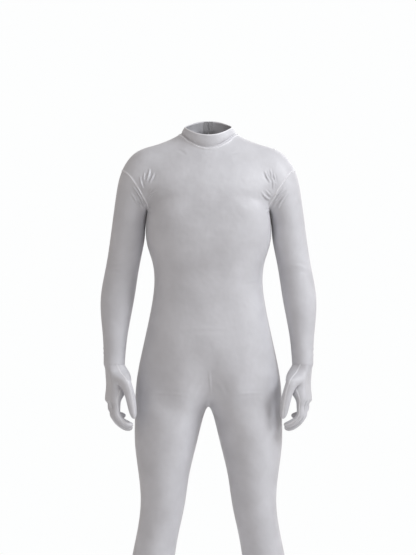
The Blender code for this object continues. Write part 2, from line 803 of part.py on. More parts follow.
def zip_slider(frame):
    width, length, thick = SLIDER_SIZE
    base = SEAM_GAP
    top = base + thick
    chamfer = SLIDER_CHAMFER
    outline = [
        (-length / 2, base),
        (length / 2, base),
        (length / 2, top - chamfer),
        (length / 2 - chamfer, top),
        (-length / 2 + chamfer, top),
        (-length / 2, top - chamfer),
    ]
    body = extruded("zip_slider", outline, width / 2, frame, "zip_metal")
    tunnel_length, tunnel_height = TUNNEL
    foot = top - BAIL_SINK
    leg = tunnel_length / 2 + BAIL_STRAP
    roof = top + tunnel_height
    arch = [
        (-leg, foot),
        (-tunnel_length / 2, foot),
        (-tunnel_length / 2, roof),
        (tunnel_length / 2, roof),
        (tunnel_length / 2, foot),
        (leg, foot),
        (leg, roof),
        (leg - BAIL_STRAP, roof + BAIL_STRAP),
        (-leg + BAIL_STRAP, roof + BAIL_STRAP),
        (-leg, roof),
    ]
    bail = extruded("bail", arch, BAIL_WIDTH / 2, frame, "zip_metal")
    joined(body, bail, "UNION")
    return body


def zip_pull(frame):
    """The pull tab hangs from the slider's bail by its top bar. Its origin lies on the axis it turns on."""
    hinge = SEAM_GAP + SLIDER_SIZE[2] + TUNNEL[1] / 2
    axis = frame @ Matrix.Translation((0, 0, hinge))
    middle = axis.to_translation()
    hanging = Matrix.Translation(-middle) @ axis
    half = PULL_BAR / 2
    plate = extruded("zip_pull", box_outline(half - PULL_LENGTH, half, -half, half),
                     PULL_WIDTH / 2, hanging, "zip_metal")
    hole_width, hole_length = PULL_HOLE
    hole = extruded("hole", box_outline(-half - hole_length, -half, -PULL_BAR, PULL_BAR),
                    hole_width / 2, hanging, "zip_metal")
    joined(plate, hole, "DIFFERENCE")
    plate.location = middle
    return plate


def build_net():
    net = Net()
    fork = add_torso(net)
    add_legs(net, fork)
    add_sleeves(net)
    add_collar(net)
    for side in SIDES:
        add_hand(net, side)
    return net


clear_scene()
SUIT = collection("fitted_jumpsuit")
CUTTERS = collection("cutters")
MATERIALS = {name: material(name) for name in COLOURS}


def main():
    net = build_net()
    mesh = subdivided(net, eased(net), NET_LEVELS)
    surface = Surface(net, mesh)
    surface.part_at_back("collar")
    for name in surface.piece_faces:
        cloth_piece(surface, name)
    for side in SIDES:
        zip_tape(surface, side)
    frame = collar_back_frame(surface)
    zip_slider(frame)
    zip_pull(frame)


main()
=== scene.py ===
import math
from collections import namedtuple

import bpy
import numpy as np
from mathutils import Matrix, Vector
from mathutils.bvhtree import BVHTree


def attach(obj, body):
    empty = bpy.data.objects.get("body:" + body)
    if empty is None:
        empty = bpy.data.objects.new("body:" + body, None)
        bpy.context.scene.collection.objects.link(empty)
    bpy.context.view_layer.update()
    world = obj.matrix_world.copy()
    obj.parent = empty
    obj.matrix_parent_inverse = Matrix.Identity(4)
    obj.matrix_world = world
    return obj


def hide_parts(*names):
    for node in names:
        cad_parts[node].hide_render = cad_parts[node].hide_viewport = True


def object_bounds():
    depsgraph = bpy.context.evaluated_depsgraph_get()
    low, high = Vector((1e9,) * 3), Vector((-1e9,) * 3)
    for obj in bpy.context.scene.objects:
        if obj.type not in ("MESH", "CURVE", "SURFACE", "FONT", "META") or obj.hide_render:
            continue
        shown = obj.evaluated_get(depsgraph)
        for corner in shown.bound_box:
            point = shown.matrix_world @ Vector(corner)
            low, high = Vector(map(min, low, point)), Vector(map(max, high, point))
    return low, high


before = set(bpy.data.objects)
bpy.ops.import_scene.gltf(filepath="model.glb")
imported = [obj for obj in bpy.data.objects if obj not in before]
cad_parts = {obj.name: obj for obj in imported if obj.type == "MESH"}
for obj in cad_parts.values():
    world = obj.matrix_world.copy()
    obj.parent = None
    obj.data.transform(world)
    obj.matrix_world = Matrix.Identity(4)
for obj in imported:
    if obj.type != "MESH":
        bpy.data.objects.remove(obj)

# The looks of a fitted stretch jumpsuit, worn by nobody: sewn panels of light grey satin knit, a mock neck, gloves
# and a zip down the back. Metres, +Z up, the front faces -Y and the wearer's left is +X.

CAD_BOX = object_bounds()

# The camera stands where the photograph was taken from, level, at the height of the picture's middle.
CAMERA_DISTANCE = 4.3
CAMERA_X = -0.0013
CAMERA_Z = -0.3723
PICTURE_HEIGHT = 555 * 0.00265

# Cloth and seams
WALL = 0.0014
COLLAR_WALL = 0.0026
HEM_WALL = 0.0026
HEM_TOP_Z = -1.430
SEAM_GAP = 0.00024
EASE_ROUNDS = 7
ON_LINE = 1e-6
ROUND_EDGE = 0.84
SEAM_EDGE = 0.3
WRIST_GAP = 0.0002
WRIST_MIN_X = 0.2

# The finest grid over each face of the net, and how many of its steps lie along a block. A block is meshed
# at its finest near folds and seams, and coarser on plain cloth.
SKIN_LEVELS = 5
BLOCK = 4
SMALL_PIECES = ("collar", "glove", "sleeve")

# The knit: how wide the cloth is between the net's columns, and its ribs and loops
COLUMN_WIDTH = 0.026
SLEEVE_RADIUS = 0.040
COLLAR_RADIUS = 0.064
RIB_WIDTH = 0.00095
LOOP_HEIGHT = 0.00070
TWILL_WIDTH = 0.0011

# The net round the torso, for one half: columns run from centre front to centre back.
SIDE_COLUMN = 6
LAST_COLUMN = 12
NECK_COLUMN = 2
FRONT_ARMHOLE = 5
BACK_ARMHOLE = 7
ARMPIT_LEVEL = 4
SIDES = (1, -1)

# Half sections of the torso: the angle of each column, from the front centre, and how square the section is.
COLUMN_ANGLES = (0, 15, 30, 46, 61, 75, 90, 105, 119, 134, 150, 165, 180)
TorsoRow = namedtuple("TorsoRow", "z half_width front back square")
TORSO_ROWS = (
    TorsoRow(-0.190, 0.162, 0.117, 0.119, 2.8),
    TorsoRow(-0.262, 0.1655, 0.121, 0.115, 2.7),
    TorsoRow(-0.328, 0.149, 0.113, 0.102, 2.5),
    TorsoRow(-0.395, 0.1435, 0.103, 0.092, 2.4),
    TorsoRow(-0.475, 0.1555, 0.103, 0.099, 2.3),
    TorsoRow(-0.565, 0.1750, 0.106, 0.124, 2.3),
)
# The lowest ring of the torso, where it parts into the legs, dips towards the centre.
FORK_HALF_WIDTH = 0.191
FORK_FRONT = 0.093
FORK_BACK = 0.118
FORK_SIDE_Z = -0.655
FORK_FRONT_Z = -0.687
FORK_BACK_Z = -0.690
FORK_CENTRE_FRONT = 0.064
FORK_CENTRE_BACK = 0.082
CROTCH = (0.0, 0.008, -0.7155)

# Rows from the neck (first) down to just above the armpit: the centre line, and the armhole seam's point.
YokeRow = namedtuple("YokeRow", "centre_y centre_z edge_x edge_y edge_z fullness")
FRONT_YOKE = (
    YokeRow(-0.078, -0.066, 0.197, -0.055, -0.119, 2.2),
    YokeRow(-0.099, -0.108, 0.181, -0.063, -0.143, 2.6),
    YokeRow(-0.111, -0.150, 0.168, -0.060, -0.167, 2.8),
)
BACK_YOKE = (
    YokeRow(0.086, -0.036, 0.198, 0.064, -0.119, 2.4),
    YokeRow(0.107, -0.086, 0.183, 0.074, -0.144, 2.6),
    YokeRow(0.117, -0.138, 0.169, 0.067, -0.168, 2.8),
)
# The share of the yoke's width at which each column lies, from the centre to the armhole.
YOKE_SHARES = (0.0, 0.19, 0.38, 0.58, 0.79, 1.0)
# The neck seam and the front and back edges of the shoulder, from centre to armhole, and the shoulder's ridge.
FRONT_TOP = (
    (0.0, -0.062, -0.036),
    (0.030, -0.056, -0.029),
    (0.057, -0.037, -0.013),
    (0.112, -0.030, -0.026),
    (0.168, -0.036, -0.050),
    (0.215, -0.034, -0.098),
)
BACK_TOP = (
    (0.0, 0.064, 0.010),
    (0.032, 0.058, 0.009),
    (0.060, 0.040, 0.005),
    (0.114, 0.046, -0.016),
    (0.168, 0.050, -0.046),
    (0.214, 0.045, -0.097),
)
RIDGE = (
    (0.0780, 0.004, 0.0060),
    (0.127, 0.008, -0.0180),
    (0.1895, 0.009, -0.0385),
    (0.2290, 0.006, -0.0890),
)
# The side of the torso is flat where the arm leaves it.
ARMPIT_CORNER = (0.158, 0.046, -0.190)
ARMPIT_TOP_Z = -0.184

# The collar: rings from just above the neck seam to the top edge, leaning forward.
CollarRing = namedtuple("CollarRing", "half_width front back front_z side_z back_z")
COLLAR_RINGS = (
    CollarRing(0.0700, 0.0625, 0.0575, -0.024, 0.0135, 0.024),
    CollarRing(0.0625, 0.0630, 0.0510, 0.0005, 0.0265, 0.046),
)

# A leg's rings, horizontal, from below the crotch to the hem.
LegRing = namedtuple("LegRing", "z centre_x half_width centre_y half_depth")
LEG_RINGS = (
    LegRing(-0.745, 0.1050, 0.0900, 0.010, 0.098),
    LegRing(-0.815, 0.1135, 0.0810, 0.006, 0.090),
    LegRing(-0.895, 0.1180, 0.0665, 0.001, 0.078),
    LegRing(-0.975, 0.1215, 0.0580, -0.004, 0.067),
    LegRing(-1.060, 0.1365, 0.0550, 0.000, 0.060),
    LegRing(-1.150, 0.1515, 0.0560, 0.011, 0.062),
    LegRing(-1.255, 0.1625, 0.0480, 0.012, 0.051),
    LegRing(-1.360, 0.1715, 0.0370, 0.008, 0.041),
    LegRing(-1.428, 0.1770, 0.0345, 0.006, 0.041),
    LegRing(-1.450, 0.1790, 0.0350, 0.006, 0.042),
)
LEG_POINTS = 14

# A sleeve's rings, from below the armhole to the wrist. The first lean with the armhole.
SleeveRing = namedtuple("SleeveRing", "z centre_x half_width centre_y half_depth lean")
WRIST_RADIUS = 0.0278
SLEEVE_RINGS = (
    SleeveRing(-0.193, 0.2055, 0.0390, 0.003, 0.056, 1.00),
    SleeveRing(-0.262, 0.2140, 0.0435, 0.006, 0.050, 0.35),
    SleeveRing(-0.345, 0.2282, 0.0435, 0.010, 0.046, 0.10),
    SleeveRing(-0.432, 0.2415, 0.0443, 0.000, 0.045, 0.00),
    SleeveRing(-0.522, 0.2460, 0.0330, -0.020, 0.034, 0.00),
    SleeveRing(-0.600, 0.2478, WRIST_RADIUS, -0.034, WRIST_RADIUS, 0.0),
)
SLEEVE_POINTS = 12

# The left hand, in its own directions: down from the wrist, across to the forefinger, and out from the back.
HAND_TURN = math.radians(18)
HAND_LEAN = math.radians(6)
PalmRing = namedtuple("PalmRing", "down half_width half_thick shift thumb_pad")
PALM_RINGS = (
    PalmRing(0.000, WRIST_RADIUS, WRIST_RADIUS, 0.000, 0.000),
    PalmRing(0.028, 0.0320, 0.0225, -0.003, 0.012),
    PalmRing(0.060, 0.0385, 0.0175, 0.000, 0.016),
    PalmRing(0.092, 0.0410, 0.0145, 0.005, 0.000),
)
PALM_COLUMNS = 4
THUMB_PAD_SHARES = (0.0, 0.0, 0.3, 0.9, 1.0)
KNUCKLE_ARCH = 0.004
THUMB_RING = 1
Finger = namedtuple("Finger", "name across down radius lengths bends")
FINGERS = (
    Finger("little", -0.0305, 0.083, 0.0090, (0.034, 0.021, 0.019), (4, 48, 76)),
    Finger("ring", -0.0105, 0.092, 0.0096, (0.043, 0.027, 0.022), (4, 46, 74)),
    Finger("middle", 0.0100, 0.096, 0.0099, (0.046, 0.028, 0.022), (3, 44, 72)),
    Finger("fore", 0.0305, 0.092, 0.0097, (0.042, 0.026, 0.022), (2, 40, 70)),
)
FINGER_STATIONS = ((0, 0.5), (1, 0.0), (2, 0.1), (2, 1.0))
FINGERTIP = 0.68
# The thumb's sections: down, across and out from the wrist, and the radius.
ThumbRing = namedtuple("ThumbRing", "down across out radius")
THUMB_TILTS = tuple(math.radians(tilt) for tilt in (42, 24, 8, 4))
THUMB_RINGS = (
    ThumbRing(0.0540, 0.0550, -0.0140, 0.0160),
    ThumbRing(0.0820, 0.0570, -0.0240, 0.0135),
    ThumbRing(0.1120, 0.0550, -0.0302, 0.0118),
    ThumbRing(0.1390, 0.0525, -0.0344, 0.0072),
)

# The zip down the centre back.
ZIP_FOOT_Z = -0.455
ZIP_PARTING = 0.0013
TAPE_PLACES = (0.0009, 0.0040, 0.0080, 0.0125)
TAPE_THICK = 0.0006
TAPE_GAP = 0.0002
TAPE_STRIDE = 3
NECK_BACK_Z = 0.012
COIL_SPACING = 0.0011
COIL_THREAD = 0.0008
COIL_DEPTH = 0.0010
COIL_ROOT = 0.0021
COIL_HEAD = 0.0007

# Folds of the cloth, in millimetres. Each is drawn as seen from one side, from its start to its end, on one piece.
# From the front or back a point is (x, z), from the left or right (y, z). Bow bends it sideways. A negative
# height is a trough.
Fold = namedtuple("Fold", "view piece start end bow height width")
FOLDS = (
    # In front of the wearer's right armpit, on the chest
    Fold("front", "front", (-156, -84), (-165, -119), 2.0, 3.0, 2.6),
    Fold("front", "front", (-169, -94), (-171, -116), -1.0, 2.0, 2.2),
    Fold("front", "front", (-144, -95), (-158, -122), 1.5, 2.2, 2.6),
    Fold("front", "front", (-181, -104), (-172, -139), -1.5, 2.4, 2.4),
    Fold("front", "front", (-164, -166), (-138, -141), 2.5, 2.0, 2.8),
    Fold("front", "front", (-163, -158), (-150, -139), 1.0, 1.4, 2.2),
    Fold("front", "front", (-163, -191), (-151, -199), 1.0, 1.8, 2.4),
    # The same in front of the left armpit
    Fold("front", "front", (149, -89), (164, -121), -2.0, 2.8, 2.6),
    Fold("front", "front", (173, -97), (176, -124), 1.0, 2.2, 2.2),
    Fold("front", "front", (163, -84), (168, -113), 1.0, 1.6, 2.2),
    Fold("front", "front", (170, -108), (171, -139), 1.5, 2.2, 2.4),
    Fold("front", "front", (140, -144), (163, -167), -2.5, 2.2, 2.8),
    Fold("front", "front", (152, -140), (165, -156), -1.0, 1.4, 2.2),
    Fold("front", "front", (152, -201), (163, -192), 1.0, 1.8, 2.4),
    # The sleeves' folds beside the armhole seams
    Fold("front", "sleeve_right", (-203, -128), (-166, -188), 3.0, 2.6, 2.6),
    Fold("front", "sleeve_right", (-207, -147), (-183, -190), 2.5, 2.0, 2.6),
    Fold("front", "sleeve_right", (-190, -132), (-163, -178), 2.0, 2.0, 2.2),
    Fold("front", "sleeve_right", (-196, -155), (-172, -191), 2.0, 2.0, 2.2),
    Fold("front", "sleeve_left", (204, -136), (172, -178), -3.0, 2.4, 2.6),
    Fold("front", "sleeve_left", (199, -153), (170, -187), -2.0, 2.2, 2.4),
    Fold("front", "sleeve_left", (211, -146), (183, -190), -2.5, 2.0, 2.6),
    Fold("front", "sleeve_left", (194, -135), (168, -173), -2.0, 1.8, 2.2),
    # Below the collar
    Fold("front", "front", (-84, -33), (-58, -49), 1.5, -0.6, 3.6),
    Fold("front", "front", (60, -45), (86, -41), 1.5, -0.6, 3.6),
    # Lower belly, fork and thighs
    Fold("front", "front", (-66, -520), (58, -517), 3.0, -0.5, 5.0),
    Fold("front", "front", (1, -618), (6, -684), 1.0, 0.9, 2.6),
    Fold("front", "front", (17, -640), (45, -694), 3.0, 0.8, 6.0),
    Fold("front", "front", (-14, -643), (-42, -696), -3.0, 0.6, 6.0),
    Fold("front", "front", (-158, -679), (-48, -688), 4.0, 0.7, 3.6),
    Fold("front", "front", (62, -685), (150, -679), 3.0, 0.7, 3.6),
    # Inside the elbows and at the front of the waist
    Fold("front", "sleeve_right", (-262, -345), (-221, -338), 5.0, 0.7, 4.5),
    Fold("front", "sleeve_right", (-266, -362), (-228, -360), 4.0, -0.6, 4.0),
    Fold("front", "sleeve_left", (219, -342), (263, -352), 5.0, 0.7, 4.5),
    Fold("front", "sleeve_left", (226, -364), (262, -360), 4.0, -0.6, 4.0),
    Fold("front", "front", (-138, -386), (-92, -392), 3.0, -0.5, 5.0),
    Fold("front", "front", (88, -396), (139, -388), 3.0, -0.5, 5.0),
    # Behind the armpits
    Fold("back", "back_right", (-158, -88), (-168, -122), 2.0, 2.8, 2.8),
    Fold("back", "back_right", (-146, -104), (-160, -134), 1.5, 2.0, 2.8),
    Fold("back", "back_right", (-172, -100), (-173, -128), -1.0, 2.0, 2.4),
    Fold("back", "back_right", (-164, -168), (-134, -146), 2.5, 2.2, 3.0),
    Fold("back", "back_left", (154, -86), (167, -119), -2.0, 2.6, 2.8),
    Fold("back", "back_left", (142, -100), (158, -131), -1.5, 1.8, 2.8),
    Fold("back", "back_left", (171, -98), (174, -125), 1.0, 2.2, 2.4),
    Fold("back", "back_left", (136, -149), (165, -169), -2.5, 2.0, 3.0),
    Fold("back", "sleeve_right", (-204, -134), (-170, -186), 3.0, 2.4, 2.8),
    Fold("back", "sleeve_right", (-210, -156), (-184, -192), 2.5, 1.8, 2.6),
    Fold("back", "sleeve_left", (206, -131), (172, -184), -3.0, 2.4, 2.8),
    Fold("back", "sleeve_left", (209, -150), (186, -190), -2.5, 2.0, 2.6),
    # Small of the back and below the seat
    Fold("back", "back_right", (-118, -396), (-14, -404), 5.0, -0.8, 6.5),
    Fold("back", "back_left", (12, -390), (109, -399), 5.0, -0.8, 6.5),
    Fold("back", "back_right", (-96, -428), (-20, -431), 4.0, -0.6, 6.0),
    Fold("back", "back_left", (24, -424), (121, -433), 4.0, -0.6, 6.0),
    Fold("back", "back_right", (-138, -706), (-46, -716), -7.0, -1.4, 7.0),
    Fold("back", "back_left", (42, -714), (144, -704), -7.0, -1.5, 7.0),
    Fold("back", "back_right", (-122, -728), (-60, -734), -4.0, 0.7, 5.0),
    Fold("back", "back_left", (56, -733), (112, -726), -4.0, 0.8, 5.0),
    # Behind the knees
    Fold("back", "back_right", (-164, -1026), (-96, -1034), 5.0, 1.0, 3.8),
    Fold("back", "back_right", (-158, -1046), (-104, -1041), -3.0, -0.9, 3.6),
    Fold("back", "back_right", (-172, -1057), (-112, -1064), 4.0, 0.9, 4.0),
    Fold("back", "back_right", (-150, -1010), (-98, -1006), 3.0, -0.7, 4.2),
    Fold("back", "back_left", (94, -1030), (160, -1022), -5.0, 1.0, 3.8),
    Fold("back", "back_left", (100, -1044), (168, -1049), 3.0, -0.9, 3.6),
    Fold("back", "back_left", (110, -1061), (159, -1054), -4.0, 0.9, 4.0),
    Fold("back", "back_left", (92, -1004), (146, -1011), 3.0, -0.7, 4.2),
    # Elbows from behind
    Fold("back", "sleeve_right", (-268, -352), (-226, -346), -4.0, 0.7, 4.6),
    Fold("back", "sleeve_right", (-262, -330), (-216, -333), -3.0, -0.6, 4.6),
    Fold("back", "sleeve_left", (222, -349), (264, -343), -4.0, 0.7, 4.6),
    Fold("back", "sleeve_left", (218, -329), (256, -332), -3.0, -0.6, 4.6),
    # Ankles
    Fold("front", "front", (-206, -1388), (-152, -1394), 3.0, 0.8, 3.4),
    Fold("front", "front", (-198, -1405), (-158, -1401), 2.0, 0.7, 3.2),
    Fold("front", "front", (152, -1391), (208, -1384), 3.0, 0.8, 3.4),
    Fold("front", "front", (160, -1400), (204, -1407), 2.0, 0.7, 3.2),
    Fold("back", "back_right", (-206, -1372), (-158, -1380), 3.0, 0.8, 3.6),
    Fold("back", "back_right", (-202, -1398), (-164, -1392), 2.0, 0.7, 3.2),
    Fold("back", "back_left", (154, -1378), (202, -1370), 3.0, 0.8, 3.6),
    Fold("back", "back_left", (162, -1394), (204, -1399), 2.0, 0.7, 3.2),
    # The outer side of the wrists and the thumbs' roots
    Fold("right", "sleeve_right", (-58, -571), (-14, -576), 2.0, 0.6, 3.0),
    Fold("right", "sleeve_right", (-54, -589), (-18, -584), 2.0, 0.5, 2.6),
    Fold("left", "sleeve_left", (-16, -573), (-57, -568), 2.0, 0.6, 3.0),
    Fold("left", "sleeve_left", (-20, -587), (-52, -590), 2.0, 0.5, 2.6),
    Fold("front", "glove_palm_right", (-215, -646), (-224, -664), 1.0, 0.9, 2.2),
    Fold("front", "glove_palm_left", (215, -647), (224, -665), -1.0, 0.9, 2.2),
    Fold("front", "glove_palm_right", (-209, -652), (-215, -668), 1.0, -0.6, 2.2),
    Fold("front", "glove_palm_left", (208, -651), (216, -669), -1.0, -0.6, 2.2),
)
VIEWS = {"front": (0, -1), "back": (0, 1), "left": (1, 0), "right": (-1, 0)}
FOLD_STEPS = 12
FOLD_REACH = 5

# How each kind of seam stands: its ridge's height and half width, and the length, spacing and thickness of the
# stitches that cross it (none where the spacing is 0).
Seam = namedtuple("Seam", "height width stitch_length stitch_spacing thread")
SEAMS = {
    "neck": Seam(0.0013, 0.0021, 0.0034, 0.0024, 0.00055),
    "armhole": Seam(0.0013, 0.0021, 0.0034, 0.0024, 0.00055),
    "side": Seam(0.0004, 0.0018, 0.0028, 0.0026, 0.00036),
    "back": Seam(0.0004, 0.0018, 0.0028, 0.0026, 0.00036),
    "glove": Seam(0.0003, 0.0012, 0.0018, 0.0022, 0.00030),
    "zip": Seam(0.0003, 0.0025, 0.0, 0.0, 0.0),
    "wrist": Seam(0.0, 0.001, 0.0, 0.0, 0.0),
    "open": Seam(0.0, 0.001, 0.0, 0.0, 0.0),
    "hem": Seam(0.0, 0.001, 0.0, 0.0, 0.0),
}
SEAM_REACH = 0.012
SEAM_STRETCH = 24
FAR_FROM_SEAM = 0.05
SEAM_GROOVE = 0.42
STITCH_SLANT = 0.22
THREAD_END = 0.62
# Straight stitches: two rows above each ankle's hem and one each side of the zip
RUN_SPACING = 0.0030
RUN_LENGTH = 0.0025
RUN_THREAD = 0.00042
RING_POINTS = 96
HEM_STITCH_RISES = (0.0190, 0.0235)
ZIP_STITCH_PLACES = (0.0060,)

# The cut of each piece, flat and unstretched: its widest, its longest and its area.
Cut = namedtuple("Cut", "width length area")


# The net of points

class Net:
    """A net of named points and four-sided faces, each face belonging to a cut piece."""

    def __init__(self):
        self.index = {}
        self.points = []
        self.backs = []
        self.grains = []
        self.faces = []
        self.pieces = []
        self.piece_names = []

    def point(self, key, place, back=0, grain=(0, 0, 0)):
        """Back is 1 on the back of a hand. Grain says where the point lies on the flat cloth: across it on the
        front and on the back, in columns, and down it in metres."""
        self.index[key] = len(self.points)
        self.points.append(Vector(place))
        self.backs.append(float(back))
        self.grains.append(tuple(float(value) for value in grain))

    def face(self, piece, keys, outward=True):
        """The keys go round anticlockwise as seen from outside, or the other way if outward is false."""
        if not outward:
            keys = list(reversed(keys))
        if piece not in self.piece_names:
            self.piece_names.append(piece)
        self.faces.append([self.index[key] for key in keys])
        self.pieces.append(self.piece_names.index(piece))


def side_of(x_side, column):
    """Points on the centre line are shared by both halves, so they have side 0."""
    return 0 if column in (0, LAST_COLUMN) else x_side


def torso_key(side, level, column):
    return ("torso", side_of(side, column), level, column)


def section_point(angle_degrees, half_width, front, back, square):
    """A point of a rounded section, by its angle from the front centre."""
    angle = math.radians(angle_degrees)
    power = 2 / square
    across = abs(math.sin(angle)) ** power * half_width
    along = abs(math.cos(angle)) ** power
    return across, -along * front if angle_degrees < 90 else along * back


def yoke_points(row):
    """The points of one yoke row, from the centre line out to the armhole seam."""
    points = []
    for share in YOKE_SHARES:
        x = row.edge_x * share
        y = row.edge_y + (row.centre_y - row.edge_y) * (1 - share**row.fullness)
        z = row.centre_z + (row.edge_z - row.centre_z) * share**1.6
        points.append((x, y, z))
    return points


def torso_half():
    """{(level, column): place} for the left half, from the neck seam (level 0) down to the fork."""
    places = {}
    for column, place in enumerate(FRONT_TOP):
        places[0, column] = place
    for column, place in enumerate(BACK_TOP):
        places[0, LAST_COLUMN - column] = place
    for level, (front_row, back_row) in enumerate(zip(FRONT_YOKE, BACK_YOKE), start=1):
        for column, place in enumerate(yoke_points(front_row)):
            places[level, column] = place
        for column, place in enumerate(yoke_points(back_row)):
            places[level, LAST_COLUMN - column] = place
    for level, row in enumerate(TORSO_ROWS, start=ARMPIT_LEVEL):
        for column, angle in enumerate(COLUMN_ANGLES):
            x, y = section_point(angle, row.half_width, row.front, row.back, row.square)
            places[level, column] = (x, y, row.z)
    corner_x, corner_y, corner_z = ARMPIT_CORNER
    places[ARMPIT_LEVEL, FRONT_ARMHOLE] = (corner_x, -corner_y, corner_z)
    places[ARMPIT_LEVEL, BACK_ARMHOLE] = (corner_x, corner_y, corner_z)
    x, y, _ = places[ARMPIT_LEVEL, SIDE_COLUMN]
    places[ARMPIT_LEVEL, SIDE_COLUMN] = (x, y, ARMPIT_TOP_Z)
    fork = ARMPIT_LEVEL + len(TORSO_ROWS)
    for column, angle in enumerate(COLUMN_ANGLES):
        x, y = section_point(angle, FORK_HALF_WIDTH, FORK_FRONT, FORK_BACK, 2.4)
        low = FORK_FRONT_Z if column < SIDE_COLUMN else FORK_BACK_Z
        dip = abs(math.cos(math.radians(angle))) ** 3
        places[fork, column] = (x, y, FORK_SIDE_Z + (low - FORK_SIDE_Z) * dip)
    places[fork, 0] = (0.0, -FORK_CENTRE_FRONT, FORK_FRONT_Z)
    places[fork, LAST_COLUMN] = (0.0, FORK_CENTRE_BACK, FORK_BACK_Z)
    return places


def add_torso(net):
    places = torso_half()
    fork = max(level for level, _ in places)
    for side in SIDES:
        for (level, column), (x, y, z) in places.items():
            key = torso_key(side, level, column)
            if key not in net.index:
                centre = places[level, 0 if column <= SIDE_COLUMN else LAST_COLUMN]
                net.point(key, (x * side, y, z), grain=(column, column, centre[2]))
        for step, (x, y, z) in enumerate(RIDGE):
            net.point(("ridge", side, step), (x * side, y, z), grain=(2 + step, 10 - step, 0.012))
    for side in SIDES:
        back = "back_left" if side > 0 else "back_right"
        for level in range(fork):
            for column in range(LAST_COLUMN):
                in_armhole = FRONT_ARMHOLE <= column < BACK_ARMHOLE
                if level < ARMPIT_LEVEL and in_armhole:
                    continue
                corners = [
                    torso_key(side, level, column),
                    torso_key(side, level, column + 1),
                    torso_key(side, level + 1, column + 1),
                    torso_key(side, level + 1, column),
                ]
                net.face("front" if column < SIDE_COLUMN else back, corners, side < 0)
        for step in range(FRONT_ARMHOLE - NECK_COLUMN):
            front = NECK_COLUMN + step
            rear = LAST_COLUMN - front
            inner, outer = ("ridge", side, step), ("ridge", side, step + 1)
            net.face("front", [torso_key(side, 0, front), inner, outer, torso_key(side, 0, front + 1)], side < 0)
            net.face(back, [outer, inner, torso_key(side, 0, rear), torso_key(side, 0, rear - 1)], side < 0)
    return fork


def ring_spot(angle_degrees, centre_x, half_width, centre_y, half_depth):
    """A point of an oval ring: angle 0 is the outer side and 90 the front."""
    angle = math.radians(angle_degrees)
    return centre_x + half_width * math.cos(angle), centre_y - half_depth * math.sin(angle)


def leg_key(side, fork, ring, step):
    if ring > 0:
        return ("leg", side, ring, step)
    if step == LEG_POINTS - 1:
        return ("crotch",)
    return torso_key(side, fork, step)


def add_legs(net, fork):
    last = LEG_POINTS - 1
    net.point(("crotch",), CROTCH, grain=(-1, last, CROTCH[2]))
    turn = 360 / LEG_POINTS
    for side in SIDES:
        for ring, row in enumerate(LEG_RINGS, start=1):
            for step in range(LEG_POINTS):
                angle = 180 - turn * (step + 1)
                x, y = ring_spot(angle, row.centre_x, row.half_width, row.centre_y, row.half_depth)
                grain = (-1 if step == last else step, step, row.z)
                net.point(("leg", side, ring, step), (x * side, y, row.z), grain=grain)
        back = "back_left" if side > 0 else "back_right"
        for ring in range(len(LEG_RINGS)):
            for step in range(LEG_POINTS):
                after = (step + 1) % LEG_POINTS
                in_front = step < SIDE_COLUMN or step == last
                corners = [
                    leg_key(side, fork, ring, step),
                    leg_key(side, fork, ring, after),
                    leg_key(side, fork, ring + 1, after),
                    leg_key(side, fork, ring + 1, step),
                ]
                net.face("front" if in_front else back, corners, side < 0)


def sleeve_key(side, ring, step):
    """Step 0 is the outer side, 3 the front, 6 the inner side and 9 the back."""
    if ring > 0:
        return ("sleeve", side, ring, step)
    if step == 0:
        return ("ridge", side, len(RIDGE) - 1)
    if step < 6:
        return torso_key(side, step - 1, FRONT_ARMHOLE)
    if step == 6:
        return torso_key(side, ARMPIT_LEVEL, SIDE_COLUMN)
    return torso_key(side, SLEEVE_POINTS - 1 - step, BACK_ARMHOLE)


def add_sleeves(net):
    turn = 360 / SLEEVE_POINTS
    for side in SIDES:
        for ring, row in enumerate(SLEEVE_RINGS, start=1):
            for step in range(SLEEVE_POINTS):
                x, y = ring_spot(turn * step, row.centre_x, row.half_width, row.centre_y, row.half_depth)
                z = row.z + row.lean * (x - row.centre_x)
                net.point(("sleeve", side, ring, step), (x * side, y, z))
        piece = "sleeve_left" if side > 0 else "sleeve_right"
        for ring in range(len(SLEEVE_RINGS)):
            for step in range(SLEEVE_POINTS):
                after = (step + 1) % SLEEVE_POINTS
                corners = [
                    sleeve_key(side, ring, step),
                    sleeve_key(side, ring, after),
                    sleeve_key(side, ring + 1, after),
                    sleeve_key(side, ring + 1, step),
                ]
                net.face(piece, corners, side > 0)


def neck_keys():
    """The neck seam's points, all round from centre front by the left side."""
    half = [torso_key(1, 0, 0), torso_key(1, 0, 1), torso_key(1, 0, 2), ("ridge", 1, 0)]
    half += [torso_key(1, 0, 10), torso_key(1, 0, 11)]
    other = [torso_key(-1, 0, 11), torso_key(-1, 0, 10), ("ridge", -1, 0)]
    other += [torso_key(-1, 0, 2), torso_key(-1, 0, 1)]
    return half + [torso_key(1, 0, LAST_COLUMN)] + other


def add_collar(net):
    below = neck_keys()
    count = len(below)
    for ring, row in enumerate(COLLAR_RINGS, start=1):
        keys = [("collar", ring, step) for step in range(count)]
        for step, key in enumerate(keys):
            angle = math.radians(360 * step / count)
            forward = math.cos(angle)
            x = math.sin(angle) * row.half_width
            y = -forward * (row.front if forward > 0 else row.back)
            end_z = row.front_z if forward > 0 else row.back_z
            z = row.side_z + (end_z - row.side_z) * abs(forward) ** 1.5
            net.point(key, (x, y, z))
        for step in range(count):
            after = (step + 1) % count
            net.face("collar", [below[step], below[after], keys[after], keys[step]])
        below = keys


def hand_frame():
    """The left hand's directions, as a matrix from (down, across, out) to the garment's own."""
    wrist = SLEEVE_RINGS[-1]
    turned = Matrix.Rotation(-HAND_TURN, 3, "Z")
    leaned = Matrix.Rotation(-HAND_LEAN, 3, "X")
    own = Matrix(((0, 0, 1), (0, -1, 0), (-1, 0, 0)))
    return Matrix.Translation((wrist.centre_x, wrist.centre_y, wrist.z)) @ (turned @ leaned @ own).to_4x4()


